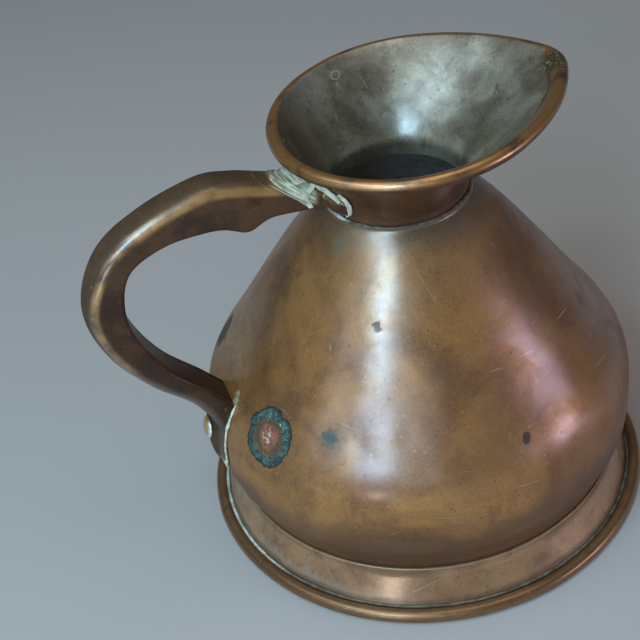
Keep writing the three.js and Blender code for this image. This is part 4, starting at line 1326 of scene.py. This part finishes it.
def leaf_edge():
    """Heights and half widths where the leaf's side meets the body, from its top to its tip."""
    found = []
    for t in np.linspace(grip_end, 1, 160):
        section = HandleSection(t)
        for level in np.linspace(section.depth, 0, 80):
            x, z = section.finger + section.up * level
            if -x < body_radius(z) + gap:
                found.append((z, section.half_width))
                break
    return np.array(found)


def make_leaf_solder():
    edge = leaf_edge()
    down = edge[np.linspace(0, len(edge) - 1, 9).astype(int)]
    near = [(-width - 0.5, height) for height, width in down]
    near[0] = (near[0][0] - 0.2, near[0][1] + 1.0)
    tip = (0, edge[-1, 0] - 0.9)
    outline = along_curve(near + [tip] + [(-y, z) for y, z in near[:0:-1]], 240)
    side_widths = [0.3, 1.5, 1.0, 0.75, 0.8, 1.0, 1.1, 1.0, 0.7]
    widths = along_curve(np.array(side_widths + [0.8] + side_widths[:0:-1])[:, None], 240)[:, 0]
    line, outs = [], []
    for y, z in outline:
        radius, lean = body_radius(z) + 0.1, body_lean(z)
        x = -math.sqrt(radius ** 2 - y ** 2)
        line.append((x, y, z))
        outs.append((x / radius * math.cos(lean), y / radius * math.cos(lean), math.sin(lean)))
    bead = laid_bead(np.array(line), np.array(outs), widths, 1.3)
    return lumpy(renamed(shaped(bead, "DIFFERENCE", handle_block(wetting)), "leaf_bead"), 0.3, 0.3, 1)


def strand(path, widths, thickness):
    """A line of solder laid on the mouth's wall along turns and heights."""
    spots = along_curve(path, 40)
    width = along_curve(np.array(widths)[:, None], 40)[:, 0]
    sections = [MouthSection(math.pi + math.radians(turn)) for turn, _ in spots]
    line = np.array([wall_at(s, z, gap) for s, (_, z) in zip(sections, spots)])
    return laid_bead(line, np.array([s.normal for s in sections]), width, thickness)


# Turns from the handle's middle line and heights: an arm along each tongue's upper edge, and a
# crescent past each tongue's end. Then the half widths on the way, and the thickness.
solder_arm = ((8, 214), (17, 213), (23, 210), (26.5, 206)), (2.6, 2.2, 1.7, 0.9), 2.4
solder_crescent = (((29.5, 213.5), (32, 209.5), (32.5, 204), (30, 198), (26.5, 194.5)),
                   (1.2, 2.0, 2.1, 1.7, 0.7), 1.5)
# A skin of solder was wiped over the mitre. Its edge runs down towards the mouth.
skin_outline = [(-69.5, 226), (-50.0, 202), (-47.5, 201.5), (-49.5, 208.5), (-43.5, 211.5), (-43.5, 226)]


pool_centre = np.array((8 - rim_back_reach, 0, pool_height - 0.8))
pool_radii = np.array((9, 9.5, 2.2))


def make_top_solder():
    ways = [[(math.sin(a) * math.cos(b), math.sin(a) * math.sin(b), math.cos(a))
             for b in 2 * np.pi * np.arange(40) / 40] for a in np.linspace(0, np.pi, 13)[1:-1]]
    rings = pool_centre + pool_radii * np.array(ways)
    pool = shaped(made_piece("pool", *skinned(rings)), "DIFFERENCE", handle_block(wetting))
    skin = shaped(handle_block(0.6), "INTERSECT", side_prism("slice", skin_outline, 60))
    shaped(pool, "UNION", shaped(skin, "DIFFERENCE", handle_block(wetting)))
    for side in (1, -1):
        for path, widths, thickness in (solder_arm, solder_crescent):
            there = [(turn * side, height) for turn, height in path]
            shaped(pool, "UNION", strand(there, widths, thickness))
    return lumpy(renamed(shaped(pool, "DIFFERENCE", mouth_block(gap)), "top_pool"), 0.35, 0.35, 5)


def solder_finish():
    """Grimy solder, cleaner towards the handle."""
    material, shader, place = start_finish("solder_bloom", 0.3, 0.1)
    lumps, bloom = cloud(place, 260.0, 5.0, 0.6), cloud(place, 90.0, 5.0, 0.6, 0.5)
    clean = blended((0.50, 0.56, 0.45), ((0.80, 0.84, 0.74), ramp(lumps, 0.35, 0.65)),
                    ((0.28, 0.36, 0.27), ramp(bloom, 0.56, 0.70, 0.0, 0.7)))
    grimy = blended((0.10, 0.082, 0.055), ((0.24, 0.21, 0.15), ramp(lumps, 0.35, 0.65)),
                    ((0.38, 0.38, 0.29), ramp(bloom, 0.60, 0.70, 0.0, 0.2)))
    x, y, _ = split(place)
    from_axis = x - jug_axis
    run = shader_node("CombineXYZ", {"X": from_axis, "Y": y}, 0)
    towards_handle = from_axis * -1.0 / vector("LENGTH", run, (0.0, 0.0, 0.0), "Value") + bloom * 0.3
    colour = blended(grimy, (clean, ramp(towards_handle, 0.97, 1.12)))
    lay_finish(shader, colour, ramp(lumps, 0.3, 0.7, 0.45, 0.75), lumps, 0.0004)
    return material


def bloom_finish():
    """Solder with a thick pale bloom, in brush strokes on the handle's top end."""
    material, shader, place = start_finish("white_bloom", 0.1, 0.1)
    lumps = cloud(place, 300.0, 5.0, 0.6)
    pale = blended((0.52, 0.58, 0.42), ((0.84, 0.86, 0.68), ramp(lumps, 0.35, 0.62)))
    _, film_height, film_colour = solder_film(place)
    x, _, z = split(place)
    brushed = ramp(x - jug_axis + lumps * 0.006, -0.046, -0.053) * ramp(z, 0.195, 0.200)
    lay_finish(shader, blended(pale, (film_colour, brushed)), ramp(lumps, 0.3, 0.7, 0.5, 0.8),
               lumps + film_height * 1.2, 0.0003)
    return material


tin_lead, white_bloom = solder_finish(), bloom_finish()
solders = (
    (make_ring_solder("neck_bead", neck_solder_profile(), 0.35, 0.0), "neck_solder", tin_lead),
    (make_ring_solder("foot_bead", foot_solder_profile(), 0.25, 4.0), "foot_solder", tin_lead),
    (make_ring_solder("base_bead", base_solder_profile(), 0.12, 8.0), "base_solder", tin_lead),
    (make_top_solder(), "handle_top_solder", white_bloom),
    (make_leaf_solder(), "handle_leaf_solder", white_bloom),
)
for piece, node, finish in solders:
    piece.data.materials.clear()
    piece.data.materials.append(finish)
    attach(piece, "root")
    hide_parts(node)
